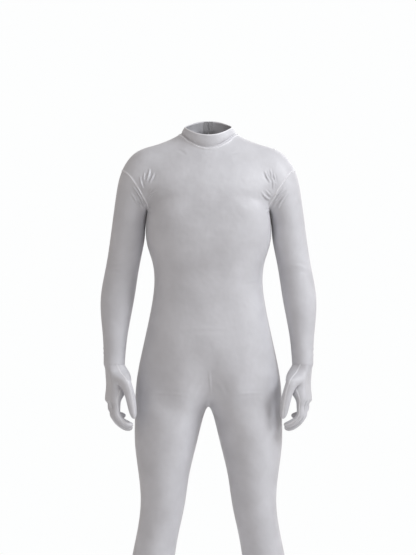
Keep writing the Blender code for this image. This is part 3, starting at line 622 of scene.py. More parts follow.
def palm_ring(number):
    """(back points, palm points) as (across, out), each from the little finger's side to the forefinger's."""
    row = PALM_RINGS[number]
    back, palm = [], []
    for column in range(PALM_COLUMNS + 1):
        share = 2 * column / PALM_COLUMNS - 1
        across = row.half_width * share
        thick = row.half_thick * (1 - 0.35 * share**4)
        if number == 0:
            across = row.half_width * math.sin(math.radians(66 * share))
            thick = row.half_thick * math.cos(math.radians(66 * share))
        back.append((across, row.shift + thick))
        palm.append((across, row.shift - thick - row.thumb_pad * THUMB_PAD_SHARES[column]))
    return back, palm


def finger_rings(finger):
    """(down, out, bend, radius) of each section's centre, from the first joint to the tip."""
    bends = [math.radians(bend) for bend in finger.bends]
    starts = [(finger.down, PALM_RINGS[-1].shift)]
    for length, bend in zip(finger.lengths, bends):
        down, out = starts[-1]
        starts.append((down + length * math.cos(bend), out - length * math.sin(bend)))
    rings = []
    for segment, share in FINGER_STATIONS:
        down, out = starts[segment]
        bend = bends[segment]
        reach = finger.lengths[segment] * share
        down += reach * math.cos(bend)
        out -= reach * math.sin(bend)
        if share == 0:
            bend = (bend + bends[segment - 1]) / 2
        rings.append((down, out, bend, finger.radius * (FINGERTIP if share == 1 else 1)))
    return rings


def add_hand(net, side):
    """One glove. Its back and palm pieces meet along the middle of the hand's and fingers' sides."""
    axes = hand_frame()
    wrist = SLEEVE_RINGS[-1]
    piece = "glove_left" if side > 0 else "glove_right"

    def put(key, down, across, out, back):
        place = axes @ Vector((down, across, out))
        if down == 0:
            place.z = wrist.z
        net.point(key, (place.x * side, place.y, place.z), back)

    def quad(*keys):
        net.face(piece, keys, side < 0)

    def palm(ring, column, back):
        return ("palm", side, ring, column, back)

    last = len(PALM_RINGS) - 1
    for ring, row in enumerate(PALM_RINGS):
        for back, spots in zip((1, 0), palm_ring(ring)):
            for column, (across, out) in enumerate(spots):
                arch = KNUCKLE_ARCH * (1 - (across / row.half_width) ** 2) if ring == last else 0
                put(palm(ring, column, back), row.down + arch, across, out, back)
    for ring in range(last):
        below = ring + 1
        for column in range(PALM_COLUMNS):
            beside = column + 1
            quad(palm(ring, column, 1), palm(below, column, 1), palm(below, beside, 1), palm(ring, beside, 1))
            quad(palm(ring, column, 0), palm(ring, beside, 0), palm(below, beside, 0), palm(below, column, 0))
        quad(palm(ring, 0, 1), palm(ring, 0, 0), palm(below, 0, 0), palm(below, 0, 1))
        if ring != THUMB_RING:
            end = PALM_COLUMNS
            quad(palm(ring, end, 0), palm(ring, end, 1), palm(below, end, 1), palm(below, end, 0))
    for column, finger in enumerate(FINGERS):
        before = [palm(last, column, 1), palm(last, column + 1, 1), palm(last, column + 1, 0), palm(last, column, 0)]
        for number, (down, out, bend, radius) in enumerate(finger_rings(finger)):
            keys = [("finger", side, finger.name, number, corner) for corner in range(4)]
            reach = radius * math.sqrt(0.5)
            for key, (along, thick) in zip(keys, ((-1, 1), (1, 1), (1, -1), (-1, -1))):
                lower = down + thick * reach * math.sin(bend)
                outer = out + thick * reach * math.cos(bend)
                put(key, lower, finger.across + along * reach, outer, int(thick > 0))
            for corner in range(4):
                after = (corner + 1) % 4
                quad(before[after], before[corner], keys[corner], keys[after])
            before = keys
        quad(*reversed(before))
    end = PALM_COLUMNS
    root = [(THUMB_RING, 1), (THUMB_RING, 0), (THUMB_RING + 1, 0), (THUMB_RING + 1, 1)]
    before = [palm(ring, end, back) for ring, back in root]
    for number, row in enumerate(THUMB_RINGS):
        keys = [("thumb", side, number, corner) for corner in range(4)]
        reach = row.radius * math.sqrt(0.5)
        tilt = THUMB_TILTS[number]
        for key, (along, thick) in zip(keys, ((1, 1), (1, -1), (-1, -1), (-1, 1))):
            upper = row.down - along * reach * math.sin(tilt)
            aside = row.across + along * reach * math.cos(tilt)
            put(key, upper, aside, row.out + thick * reach, int(thick > 0))
        for corner in range(4):
            after = (corner + 1) % 4
            quad(before[after], before[corner], keys[corner], keys[after])
        before = keys
    quad(*reversed(before))


def build_net():
    net = Net()
    fork = add_torso(net)
    add_legs(net, fork)
    add_sleeves(net)
    add_collar(net)
    for side in SIDES:
        add_hand(net, side)
    return net


def subdivided(net, points, levels):
    """A new mesh: the net with these points, made smooth. The first points are the net's own."""
    mesh = bpy.data.meshes.new("net")
    mesh.from_pydata(points, [], net.faces)
    mesh.attributes.new("face", "INT", "FACE").data.foreach_set("value", range(len(net.faces)))
    mesh.attributes.new("back", "FLOAT", "POINT").data.foreach_set("value", net.backs)
    grain = mesh.attributes.new("grain", "FLOAT_VECTOR", "POINT")
    grain.data.foreach_set("vector", [value for point in net.grains for value in point])
    corner = mesh.uv_layers.new(name="corner")
    corner.uv.foreach_set("vector", (0, 0, 1, 0, 1, 1, 0, 1) * len(net.faces))
    guide = bpy.data.objects.new("net", mesh)
    bpy.context.scene.collection.objects.link(guide)
    smooth = guide.modifiers.new("Subdivision", "SUBSURF")
    smooth.levels = smooth.render_levels = levels
    smooth.uv_smooth = "NONE"
    bpy.context.view_layer.update()
    graph = bpy.context.evaluated_depsgraph_get()
    made = bpy.data.meshes.new_from_object(guide.evaluated_get(graph))
    bpy.data.objects.remove(guide)
    return made


def eased(net):
    """The net's points, moved until the smooth surface runs through the places that were set out."""
    points = [point.copy() for point in net.points]
    for _ in range(EASE_ROUNDS):
        mesh = subdivided(net, points, 1)
        for number, target in enumerate(net.points):
            points[number] += target - mesh.vertices[number].co
        bpy.data.meshes.remove(mesh)
    return points


# The smooth surface

def read_values(data, name, width=1, kind=float):
    values = np.zeros(len(data) * width, kind)
    data.foreach_get(name, values)
    return values.reshape(-1, width) if width > 1 else values


class Skin:
    """The smooth surface as arrays. Its finest points lie in blocks, and each block belongs to one piece."""

    def __init__(self, net, mesh):
        self.places = read_values(mesh.vertices, "co", 3)
        self.normals = read_values(mesh.vertex_normals, "vector", 3)
        self.grain = read_values(mesh.attributes["grain"].data, "vector", 3)
        self.lifts = np.zeros(len(self.places))
        self.seam_distance = np.full(len(self.places), FAR_FROM_SEAM)
        self.detail = np.zeros(len(self.places), int)
        self.by_height = np.argsort(self.places[:, 2])
        self.heights = self.places[self.by_height, 2]
        side = 2**SKIN_LEVELS
        points = read_values(mesh.loops, "vertex_index", 1, int)
        corner = np.rint(read_values(mesh.uv_layers["corner"].uv, "vector", 2) * side).astype(int)
        face = np.repeat(read_values(mesh.attributes["face"].data, "value", 1, int), 4)
        grid = np.zeros((len(net.faces), side + 1, side + 1), int)
        grid[face, corner[:, 1], corner[:, 0]] = points
        along = np.arange(0, side, BLOCK)[:, None] + np.arange(BLOCK + 1)
        blocks = grid[:, along[:, None, :, None], along[None, :, None, :]]
        self.blocks = blocks.reshape(-1, BLOCK + 1, BLOCK + 1)
        names = np.array(net.piece_names, dtype=object)[net.pieces]
        self.piece = np.repeat(names, (side // BLOCK) ** 2)
        backs = read_values(mesh.attributes["back"].data, "value")
        on_back = backs[self.blocks].mean(axis=(1, 2)) > 0.5
        for hand in ("left", "right"):
            glove = self.piece == f"glove_{hand}"
            self.piece[glove & on_back] = f"glove_back_{hand}"
            self.piece[glove & ~on_back] = f"glove_palm_{hand}"
        bpy.data.meshes.remove(mesh)

    def piece_names(self):
        return sorted(set(self.piece))

    def blocks_of(self, name):
        return self.blocks[self.piece == name]

    def part_at_back(self, name):
        """Give a piece's right half points of its own along the centre back, where the zip parts it."""
        mine = self.piece == name
        blocks = self.blocks[mine]
        right = self.places[blocks, 0].mean(axis=(1, 2)) < 0
        seam = (np.abs(self.places[:, 0]) < ON_LINE) & (self.places[:, 1] > 0)
        shared = np.intersect1d(np.unique(blocks), np.flatnonzero(seam))
        renamed = np.arange(len(self.places))
        renamed[shared] = np.arange(len(shared)) + len(self.places)
        blocks[right] = renamed[blocks[right]]
        self.blocks[mine] = blocks
        for field in ("places", "normals", "grain", "lifts", "seam_distance", "detail"):
            values = getattr(self, field)
            setattr(self, field, np.concatenate([values, values[shared]]))


def block_sides(blocks):
    """The four sides of each block as rows of points, anticlockwise seen from outside."""
    return np.concatenate([blocks[:, 0], blocks[:, :, -1], blocks[:, -1, ::-1], blocks[:, ::-1, 0]])


def rim_sides(blocks, count):
    """The block sides that only one block has."""
    sides = block_sides(blocks)
    forward = sides[:, 0] * count + sides[:, -1]
    backward = sides[:, -1] * count + sides[:, 0]
    return sides[~np.isin(forward, backward)]


def face_walks(step):
    """For each face of a block meshed at this step: (row, column, whether it is a corner) all round it."""
    walks = []
    for row in range(0, BLOCK, step):
        for column in range(0, BLOCK, step):
            walk = [(row, column + n) for n in range(step)]
            walk += [(row + n, column + step) for n in range(step)]
            walk += [(row + step, column + step - n) for n in range(step)]
            walk += [(row + step - n, column) for n in range(step)]
            walks.append([(r, c, number % step == 0) for number, (r, c) in enumerate(walk)])
    return walks


def block_faces(blocks, steps, in_use):
    """Faces over each block at its own step. A face takes in the points that a finer neighbour has beside it."""
    walks = {step: face_walks(step) for step in set(steps.tolist())}
    kept = in_use.tolist()
    faces = []
    for block, step in zip(blocks.tolist(), steps.tolist()):
        for walk in walks[step]:
            faces.append([block[r][c] for r, c, corner in walk if corner or kept[block[r][c]]])
    return faces


def block_steps(skin, blocks, name):
    """Each block's step: its finest near folds and seams, coarse on plain cloth."""
    detail = skin.detail[blocks].max(axis=(1, 2))
    if name.startswith(SMALL_PIECES):
        detail = np.maximum(detail, 1)
    return BLOCK >> detail


def points_in_use(blocks, steps, rims, count):
    in_use = np.zeros(count, bool)
    for step in set(steps.tolist()):
        in_use[blocks[steps == step][:, ::step, ::step]] = True
    in_use[rims] = True
    return in_use


def kind_of_seam(names, place):
    """The kind of seam between the pieces that share an edge, or of open edge."""
    short = {name.split("_")[0] for name in names}
    if len(names) < 2:
        if place[2] < HEM_TOP_Z:
            return "hem"
        return "wrist" if abs(place[0]) > WRIST_MIN_X else "open"
    if short == {"collar"}:
        return "zip"
    if short == {"glove"}:
        return "glove"
    if "sleeve" in short:
        return "armhole"
    if "collar" in short:
        return "neck"
    if short == {"front", "back"}:
        return "side"
    return "zip" if place[2] > ZIP_FOOT_Z else "back"


def chains(edges):
    """Edges joined end to end, as lists of points. A closed one ends where it starts."""
    links = {}
    for a, b in edges:
        links.setdefault(a, []).append(b)
        links.setdefault(b, []).append(a)
    starts = [v for v in links if len(links[v]) != 2] + list(links)
    used = set()
    found = []
    for start in starts:
        for first in links[start]:
            if frozenset((start, first)) in used:
                continue
            line = [start, first]
            used.add(frozenset(line))
            while len(links[line[-1]]) == 2 and line[-1] != start:
                ahead = [v for v in links[line[-1]] if frozenset((line[-1], v)) not in used]
                if not ahead:
                    break
                used.add(frozenset((line[-1], ahead[0])))
                line.append(ahead[0])
            found.append(line)
    return found


def find_seams(skin):
    """[(kind, side, line of points)] for every seam and open edge, and {edge: kind}."""
    owners = {}
    for name in skin.piece_names():
        for line in rim_sides(skin.blocks_of(name), len(skin.places)).tolist():
            for a, b in zip(line, line[1:]):
                owners.setdefault((min(a, b), max(a, b)), []).append(name)
    for line in block_sides(skin.blocks_of("collar")):
        at_back = np.abs(skin.places[line, 0]).max() < ON_LINE and skin.places[line[0], 1] > 0
        for a, b in zip(line.tolist(), line[1:].tolist()):
            if at_back:
                owners[min(a, b), max(a, b)] = ["collar", "collar"]
    kinds = {}
    groups = {}
    for (a, b), names in owners.items():
        place = (skin.places[a] + skin.places[b]) / 2
        kind = kind_of_seam(names, place)
        side = "left" if place[0] > ON_LINE else "right"
        if kind in ("zip", "back", "neck", "open"):
            side = "centre"
        kinds[a, b] = kind
        groups.setdefault((kind, side), []).append((a, b))
    seams = [(kind, side, line) for (kind, side), edges in groups.items() for line in chains(edges)]
    return seams, kinds


# Folds and seam ridges

def near_line(skin, line, reach):
    """For the points within reach of a line: their numbers, distance, step from it, its way, and the share along."""
    low = line.min(axis=0) - reach
    high = line.max(axis=0) + reach
    first, last = np.searchsorted(skin.heights, (low[2], high[2]))
    numbers = skin.by_height[first:last]
    places = skin.places[numbers]
    numbers = numbers[((places > low) & (places < high)).all(axis=1)]
    points = skin.places[numbers]
    best = np.full(len(numbers), np.inf)
    step = np.zeros((len(numbers), 3))
    way = np.zeros((len(numbers), 3))
    share = np.zeros(len(numbers))
    lengths = np.linalg.norm(np.diff(line, axis=0), axis=1)
    starts = np.concatenate([[0], np.cumsum(lengths)])
    for number, (a, b) in enumerate(zip(line[:-1], line[1:])):
        along = (b - a) / max(lengths[number], ON_LINE)
        t = np.clip((points - a) @ along, 0, lengths[number])
        offset = points - (a + t[:, None] * along)
        distance = np.linalg.norm(offset, axis=1)
        closer = distance < best
        best[closer] = distance[closer]
        step[closer] = offset[closer]
        way[closer] = along
        share[closer] = (starts[number] + t[closer]) / starts[-1]
    return numbers, best, step, way, share


def fold_line(fold, tree):
    """The fold's line on the surface: its points are seen from the camera's distance and height."""
    direction = VIEWS[fold.view]
    eye = Vector((direction[0] * CAMERA_DISTANCE, direction[1] * CAMERA_DISTANCE, CAMERA_Z))
    start = Vector(fold.start) / 1000
    end = Vector(fold.end) / 1000
    aside = (end - start).orthogonal().normalized() * fold.bow / 1000
    line = []
    for number in range(FOLD_STEPS + 1):
        share = number / FOLD_STEPS
        across, z = start.lerp(end, share) + aside * math.sin(math.pi * share)
        target = Vector((across, 0, z)) if direction[0] == 0 else Vector((0, across, z))
        hit = tree.ray_cast(eye, (target - eye).normalized())
        if hit[0] is not None:
            line.append(hit[0])
    return np.array(line)


def add_folds(skin, trees):
    """Move points along their normals for each fold: a rounded ridge between two softer dips, fading at its ends."""
    for fold in FOLDS:
        line = fold_line(fold, trees[fold.piece])
        if len(line) < 4:
            print("fold missed:", fold)
            continue
        width = fold.width / 1000
        numbers, distance, step, way, share = near_line(skin, line, width * FOLD_REACH)
        aside = (step * np.cross(skin.normals[numbers], way)).sum(axis=1) / width
        crest = np.exp(-(aside**2))
        dips = 0.5 * np.exp(-((aside - 1.7) ** 2)) + 0.3 * np.exp(-((aside + 1.9) ** 2))
        beyond = np.sqrt(np.maximum(distance**2 - (aside * width) ** 2, 0)) / width
        fade = np.sin(np.pi * share) ** 0.8 * np.exp(-(beyond**2))
        skin.lifts[numbers] += (crest - dips) * fade * fold.height / 1000
        skin.detail[numbers[distance < width * 3]] = 2


def add_seam_ridges(skin, seams):
    """Raise the cloth along each seam, and note how far each point lies from its nearest seam."""
    ridges = np.zeros(len(skin.places))
    for kind, side, points in seams:
        seam = SEAMS[kind]
        line = skin.places[points]
        for first in range(0, len(line) - 1, SEAM_STRETCH):
            part = line[first:first + SEAM_STRETCH + 1]
            numbers, distance, *_ = near_line(skin, part, SEAM_REACH)
            if kind != "wrist":
                skin.seam_distance[numbers] = np.minimum(skin.seam_distance[numbers], distance)
            ridge = seam.height * np.exp(-((distance / seam.width) ** 2))
            ridges[numbers] = np.maximum(ridges[numbers], ridge)
            if seam.height > 0:
                skin.detail[numbers[distance < seam.width * 2]] = 2
    skin.lifts += ridges


# Pieces

def linked(name, places, faces):
    mesh = bpy.data.meshes.new(name)
    mesh.from_pydata([tuple(place) for place in places], [], faces)
    mesh.update()
    made = bpy.data.objects.new(name, mesh)
    bpy.context.scene.collection.objects.link(made)
    return made


def smoothed(made, degrees=55):
    mesh = made.data
    mesh.polygons.foreach_set("use_smooth", [True] * len(mesh.polygons))
    mesh.set_sharp_from_angle(angle=math.radians(degrees))


def rim_shape(kind):
    """How far a panel's edge is drawn back from the seam's line, and how round the edge is."""
    if kind == "wrist":
        return WRIST_GAP / 2, 0.0
    if kind in ("open", "hem"):
        return 0.0, ROUND_EDGE
    if kind == "zip":
        return ZIP_PARTING, ROUND_EDGE
    return SEAM_GAP / 2 + WALL / 2 * SEAM_EDGE, SEAM_EDGE


def wall_at(name, place):
    if name == "collar":
        return COLLAR_WALL
    return HEM_WALL if place[2] < HEM_TOP_Z else WALL


def lowest_beside(skin, blocks, count):
    """The deepest dip in the blocks round each of their corner points, so that the lining stays below it."""
    lows = np.minimum(skin.lifts[blocks].min(axis=(1, 2)), 0)
    found = np.zeros(count)
    for corner in ((0, 0), (0, -1), (-1, 0), (-1, -1)):
        np.minimum.at(found, blocks[:, corner[0], corner[1]], lows)
    return found


def make_piece(name, skin, kinds):
    """One cut piece as a thin shell: an outer skin, a coarser lining, and rounded edges between them."""
    blocks = skin.blocks_of(name)
    count = len(skin.places)
    rims = rim_sides(blocks, count)
    steps = block_steps(skin, blocks, name)
    coarse = np.full(len(blocks), BLOCK)
    in_skin = points_in_use(blocks, steps, rims, count)
    in_lining = points_in_use(blocks, coarse, rims, count)
    used = np.flatnonzero(in_skin)
    inside = np.flatnonzero(in_lining)
    order = np.full(count, -1)
    order[used] = np.arange(len(used))
    inner_order = np.full(count, -1)
    inner_order[inside] = np.arange(len(inside)) + len(used)
    outer = skin.places[used] + skin.normals[used] * skin.lifts[used, None]
    walls = np.array([wall_at(name, place) for place in skin.places[inside]])
    depths = walls - lowest_beside(skin, blocks, count)[inside]
    inner = skin.places[inside] - skin.normals[inside] * depths[:, None]
    edges = [(a, b) for side in rims.tolist() for a, b in zip(side, side[1:])]
    ahead = dict(edges)
    behind = {b: a for a, b in edges}
    rows = {}
    rounding = []
    for v in ahead:
        inward = np.cross(skin.normals[v], skin.places[ahead[v]] - skin.places[behind[v]])
        inward /= np.linalg.norm(inward)
        shapes = [rim_shape(kinds.get((min(v, w), max(v, w)), "zip")) for w in (ahead[v], behind[v])]
        inset, roundness = max(shapes)
        outer[order[v]] += inward * inset
        top = outer[order[v]]
        low = top - skin.normals[v] * walls[inner_order[v] - len(used)]
        inner[inner_order[v] - len(used)] = low
        bulge = -inward * np.linalg.norm(top - low) / 2 * roundness
        rows[v] = []
        for degrees in (60, 120):
            turn = math.radians(degrees)
            rows[v].append(len(used) + len(inside) + len(rounding))
            rounding.append((top + low) / 2 + (top - low) / 2 * math.cos(turn) + bulge * math.sin(turn))
    polygons = [order[face].tolist() for face in block_faces(blocks, steps, in_skin)]
    lining = block_faces(blocks, coarse, in_lining)
    polygons += [inner_order[face[::-1]].tolist() for face in lining]
    for a, b in edges:
        polygons.append((order[b], order[a], rows[a][0], rows[b][0]))
        polygons.append((rows[b][0], rows[a][0], rows[a][1], rows[b][1]))
        polygons.append((rows[b][1], rows[a][1], inner_order[a], inner_order[b]))
    made = linked(name + "_cloth", np.concatenate([outer, inner, np.array(rounding)]), polygons)
    source = np.concatenate([used, inside, np.repeat(np.array(list(ahead), int), 2)])
    add_values(made, "cloth", flat_places(name, skin, source))
    add_values(made, "seam", skin.seam_distance[source])
    smoothed(made)
    return made


def add_values(made, name, values):
    """Store one number or one vector a point, for the material to read."""
    if values.ndim == 1:
        made.data.attributes.new(name, "FLOAT", "POINT").data.foreach_set("value", values)
    else:
        made.data.attributes.new(name, "FLOAT_VECTOR", "POINT").data.foreach_set("vector", values.ravel())


def flat_places(name, skin, source):
    """Where each point lies on the flat cloth, in metres: across the knit's ribs and along them."""
    places = skin.places[source]
    if name.startswith("glove"):
        mirrored = places * np.array([-1 if name.endswith("right") else 1, 1, 1])
        back = np.array(hand_frame().inverted())
        own = mirrored @ back[:3, :3].T + back[:3, 3]
        across, along = own[:, 1], own[:, 0]
    elif name.startswith("sleeve"):
        heights = [-row.z for row in SLEEVE_RINGS]
        centre_x = np.interp(-places[:, 2], heights, [row.centre_x for row in SLEEVE_RINGS])
        centre_y = np.interp(-places[:, 2], heights, [row.centre_y for row in SLEEVE_RINGS])
        across = np.arctan2(centre_y - places[:, 1], np.abs(places[:, 0]) - centre_x) * SLEEVE_RADIUS
        along = places[:, 2]
    elif name == "collar":
        across = np.abs(np.arctan2(places[:, 0], -places[:, 1])) * COLLAR_RADIUS
        along = places[:, 2]
    else:
        across = skin.grain[source, 0 if name == "front" else 1] * COLUMN_WIDTH
        along = skin.grain[source, 2]
    return np.stack([across, along, np.zeros(len(source))], axis=1)


# Stitches, zip and tapes

def evenly(line, spacing):
    """Points, directions and places in the line's list, evenly spaced along it."""
    lengths = np.linalg.norm(np.diff(line, axis=0), axis=1)
    marks = np.concatenate([[0], np.cumsum(lengths)])
    at = np.arange(spacing / 2, marks[-1], spacing)
    points, ahead, behind = (
        np.stack([np.interp(at + shift, marks, line[:, axis]) for axis in range(3)], axis=1)
        for shift in (0, spacing / 4, -spacing / 4)
    )
    ways = ahead - behind
    return points, ways / np.linalg.norm(ways, axis=1)[:, None], np.interp(at, marks, np.arange(len(line)))


def thread_mesh(name, stitches, thread):
    """Short threads, each a bent bar through three points."""
    places, faces = [], []
    for stitch, up in stitches:
        way = stitch[2] - stitch[0]
        way = way / np.linalg.norm(way)
        aside = np.cross(way, up)
        aside /= np.linalg.norm(aside)
        over = np.cross(aside, way)
        first = len(places)
        for number, point in enumerate(stitch):
            radius = thread / 2 * (1 if number == 1 else THREAD_END)
            for degrees in (45, 135, 225, 315):
                turn = math.radians(degrees)
                places.append(point + radius * (math.cos(turn) * aside + math.sin(turn) * over))
        for ring in (0, 4):
            for a in range(4):
                b = (a + 1) % 4
                faces.append((first + ring + a, first + ring + b, first + ring + 4 + b, first + ring + 4 + a))
        faces.append((first + 3, first + 2, first + 1, first))
        faces.append((first + 8, first + 9, first + 10, first + 11))
    made = linked(name, places, faces)
    smoothed(made, 80)
    return made


def cross_stitches(skin, line, seam):
    """Stitches that cross a seam from one panel to the other, each a little aslant."""
    points, ways, marks = evenly(skin.places[line], seam.stitch_spacing)
    found = []
    for point, way, mark in zip(points, ways, marks):
        up = skin.normals[line[int(round(mark))]]
        aside = np.cross(way, up)
        aside /= np.linalg.norm(aside)
        reach = aside * seam.stitch_length / 2 + way * seam.stitch_spacing * STITCH_SLANT
        crest = up * (seam.height * SEAM_GROOVE + seam.thread * 0.4)
        foot = up * seam.height * SEAM_GROOVE * math.exp(-((seam.stitch_length / 2 / seam.width) ** 2))
        found.append(((point - reach + foot, point + crest, point + reach + foot), up))
    return found


def run_stitches(line, normals):
    """Straight stitches one after another along a line on the cloth."""
    points, ways, marks = evenly(line, RUN_SPACING)
    found = []
    for point, way, mark in zip(points, ways, marks):
        up = normals[int(round(mark))]
        reach = way * RUN_LENGTH / 2
        sunk = up * RUN_THREAD * 0.35
        found.append(((point - reach - sunk, point + up * RUN_THREAD * 0.2, point + reach - sunk), up))
    return found


def on_surface(place, trees):
    """The nearest point of these pieces' surface, and its outward direction."""
    hits = [tree.find_nearest(Vector(place)) for tree in trees]
    near = min(hits, key=lambda hit: hit[3])
    return np.array(near[0]), np.array(near[1])


def beside_zip(line, offset, trees):
    """A line on the cloth at this distance to one side of the zip."""
    found = [on_surface(place + np.array([offset, 0, 0]), trees) for place in line]
    return np.array([place for place, _ in found]), [normal for _, normal in found]


def round_leg(side, z, trees):
    """A level line round one leg."""
    row = min(LEG_RINGS, key=lambda ring: abs(ring.z - z))
    middle = Vector((row.centre_x * side, row.centre_y, z))
    line, normals = [], []
    for number in range(RING_POINTS + 1):
        turn = 2 * math.pi * number / RING_POINTS
        out = Vector((math.cos(turn), math.sin(turn), 0))
        hits = [tree.ray_cast(middle + out * row.half_width * 3, -out) for tree in trees]
        hits = [hit for hit in hits if hit[0] is not None]
        if hits:
            near = min(hits, key=lambda hit: hit[3])
            line.append(np.array(near[0]))
            normals.append(np.array(near[1]))
    return np.array(line), normals


def zip_coil(line):
    """The closed zip's coil: a loop from each tape in turn."""
    points, ways, _ = evenly(line, COIL_SPACING)
    across = np.array([1.0, 0, 0])
    teeth = []
    for number, (point, way) in enumerate(zip(points, ways)):
        up = np.cross(across, way) * np.sign(np.cross(across, way)[1])
        side = 1 if number % 2 else -1
        middle = point - up * COIL_DEPTH
        root = middle + across * side * COIL_ROOT
        head = middle - across * side * COIL_HEAD
        teeth.append(((root, (root + head) / 2 + up * COIL_THREAD * 0.15, head), up))
    made = thread_mesh("zip_coil", teeth, COIL_THREAD)
    made.data.materials.append(thread_material("coil", (0.40, 0.40, 0.42, 1), (0.50, 0.50, 0.52, 1)))
    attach(made, "suit")


def zip_tape(side, line, trees):
    """A strip of woven tape inside the back and the collar."""
    rows = []
    values = []
    for place in line:
        for offset in TAPE_PLACES:
            spot, normal = on_surface(place + np.array([offset * side, 0, 0]), trees)
            near = spot - normal * (COLLAR_WALL if spot[2] > NECK_BACK_Z else WALL) - normal * TAPE_GAP
            rows += [near, near - normal * TAPE_THICK]
            values += [(offset, place[2], 0), (offset, place[2], 0)]
    columns = len(TAPE_PLACES)
    width = 2 * columns
    ring = [2 * n for n in range(columns)] + [2 * n + 1 for n in reversed(range(columns))]
    faces = []
    for number in range(len(line) - 1):
        base = number * width
        for a, b in zip(ring, ring[1:] + ring[:1]):
            faces.append((base + a, base + b, base + width + b, base + width + a))
    end = (len(line) - 1) * width
    faces.append([v for v in reversed(ring)])
    faces.append([end + v for v in ring])
    if side > 0:
        faces = [list(reversed(face)) for face in faces]
    name = "zip_tape_left" if side > 0 else "zip_tape_right"
    made = linked(name + "_woven", np.array(rows), faces)
    add_values(made, "cloth", np.array(values, float))
    smoothed(made, 40)
    made.data.materials.append(tape_material())
    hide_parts(name)
    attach(made, "suit")


def add_stitches(name, stitches, thickness, material):
    made = thread_mesh(name, stitches, thickness)
    made.data.materials.append(material)
    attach(made, "suit")


def add_sewing(skin, seams, trees):
    thread = thread_material("thread", (0.74, 0.74, 0.77, 1), (0.86, 0.86, 0.90, 1))
    for kind, side, line in seams:
        seam = SEAMS[kind]
        if seam.stitch_spacing > 0 and len(line) > 8:
            add_stitches(f"stitches_{kind}_{side}", cross_stitches(skin, line, seam), seam.thread, thread)
    backs = [trees["back_left"], trees["back_right"], trees["collar"]]
    zip_points = max((line for kind, _, line in seams if kind == "zip"), key=len)
    path = skin.places[zip_points[::TAPE_STRIDE]]
    path = path[np.argsort(path[:, 2])]
    for side, word in ((1, "left"), (-1, "right")):
        zip_tape(side, path, backs)
        for number, offset in enumerate(ZIP_STITCH_PLACES):
            line, normals = beside_zip(path, offset * side, backs)
            add_stitches(f"zip_stitches_{word}_{number}", run_stitches(line, normals), RUN_THREAD, thread)
        for number, rise in enumerate(HEM_STITCH_RISES):
            around = [trees["front"], trees[f"back_{word}"]]
            line, normals = round_leg(side, LEG_RINGS[-1].z + rise, around)
            add_stitches(f"hem_stitches_{word}_{number}", run_stitches(line, normals), RUN_THREAD, thread)
    zip_coil(path)


def main():
    net = build_net()
    skin = Skin(net, subdivided(net, eased(net), SKIN_LEVELS))
    seams, kinds = find_seams(skin)
    trees = {}
    for name in skin.piece_names():
        blocks = skin.blocks_of(name)
        corners = np.stack([blocks[:, 0, 0], blocks[:, 0, -1], blocks[:, -1, -1], blocks[:, -1, 0]], axis=1)
        trees[name] = BVHTree.FromPolygons(skin.places.tolist(), corners.tolist())
    add_seam_ridges(skin, seams)
    add_folds(skin, trees)
    add_sewing(skin, seams, trees)
    skin.part_at_back("collar")
    cloth = cloth_material()
    for name in skin.piece_names():
        made = make_piece(name, skin, kinds)
        made.data.materials.append(cloth)
        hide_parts(name)
        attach(made, "suit")
    nickel = nickel_material()
    for name in ("zip_slider", "zip_pull"):
        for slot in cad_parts[name].material_slots:
            slot.material = nickel


# Materials

class Nodes:
    """Short calls to put a material's nodes together."""

    def __init__(self, name):
        self.material = bpy.data.materials.new(name)
        self.material.use_nodes = True
        self.tree = self.material.node_tree
        self.shader = self.tree.nodes["Principled BSDF"]

    def node(self, kind, settings=None, **inputs):
        made = self.tree.nodes.new(kind)
        for key, value in (settings or {}).items():
            setattr(made, key, value)
        for key, value in inputs.items():
            socket = made.inputs[int(key[1:])] if key[0] == "i" and key[1:].isdigit() else made.inputs[key]
            self.put(socket, value)
        return made

    def put(self, socket, value):
        if isinstance(value, bpy.types.NodeSocket):
            self.tree.links.new(value, socket)
        else:
            socket.default_value = value

    def math(self, operation, first, second=0.0, third=0.0):
        return self.node("ShaderNodeMath", {"operation": operation}, i0=first, i1=second, i2=third).outputs[0]

    def mix(self, share, first, second):
        made = self.node("ShaderNodeMix", {"data_type": "RGBA"}, i0=share, i6=first, i7=second)
        return made.outputs[2]

    def between(self, value, low, high, start=0.0, end=1.0):
        """The value's place between low and high, kept within start and end."""
        return self.node("ShaderNodeMapRange", i0=value, i1=low, i2=high, i3=start, i4=end).outputs[0]

    def place(self):
        return self.node("ShaderNodeTexCoord").outputs["Object"]

    def cloth_axes(self):
        flat = self.node("ShaderNodeAttribute", {"attribute_name": "cloth"})
        parts = self.node("ShaderNodeSeparateXYZ", i0=flat.outputs["Vector"])
        return parts.outputs[0], parts.outputs[1]

    def set(self, **values):
        for key, value in values.items():
            self.put(self.shader.inputs[key.replace("_", " ")], value)


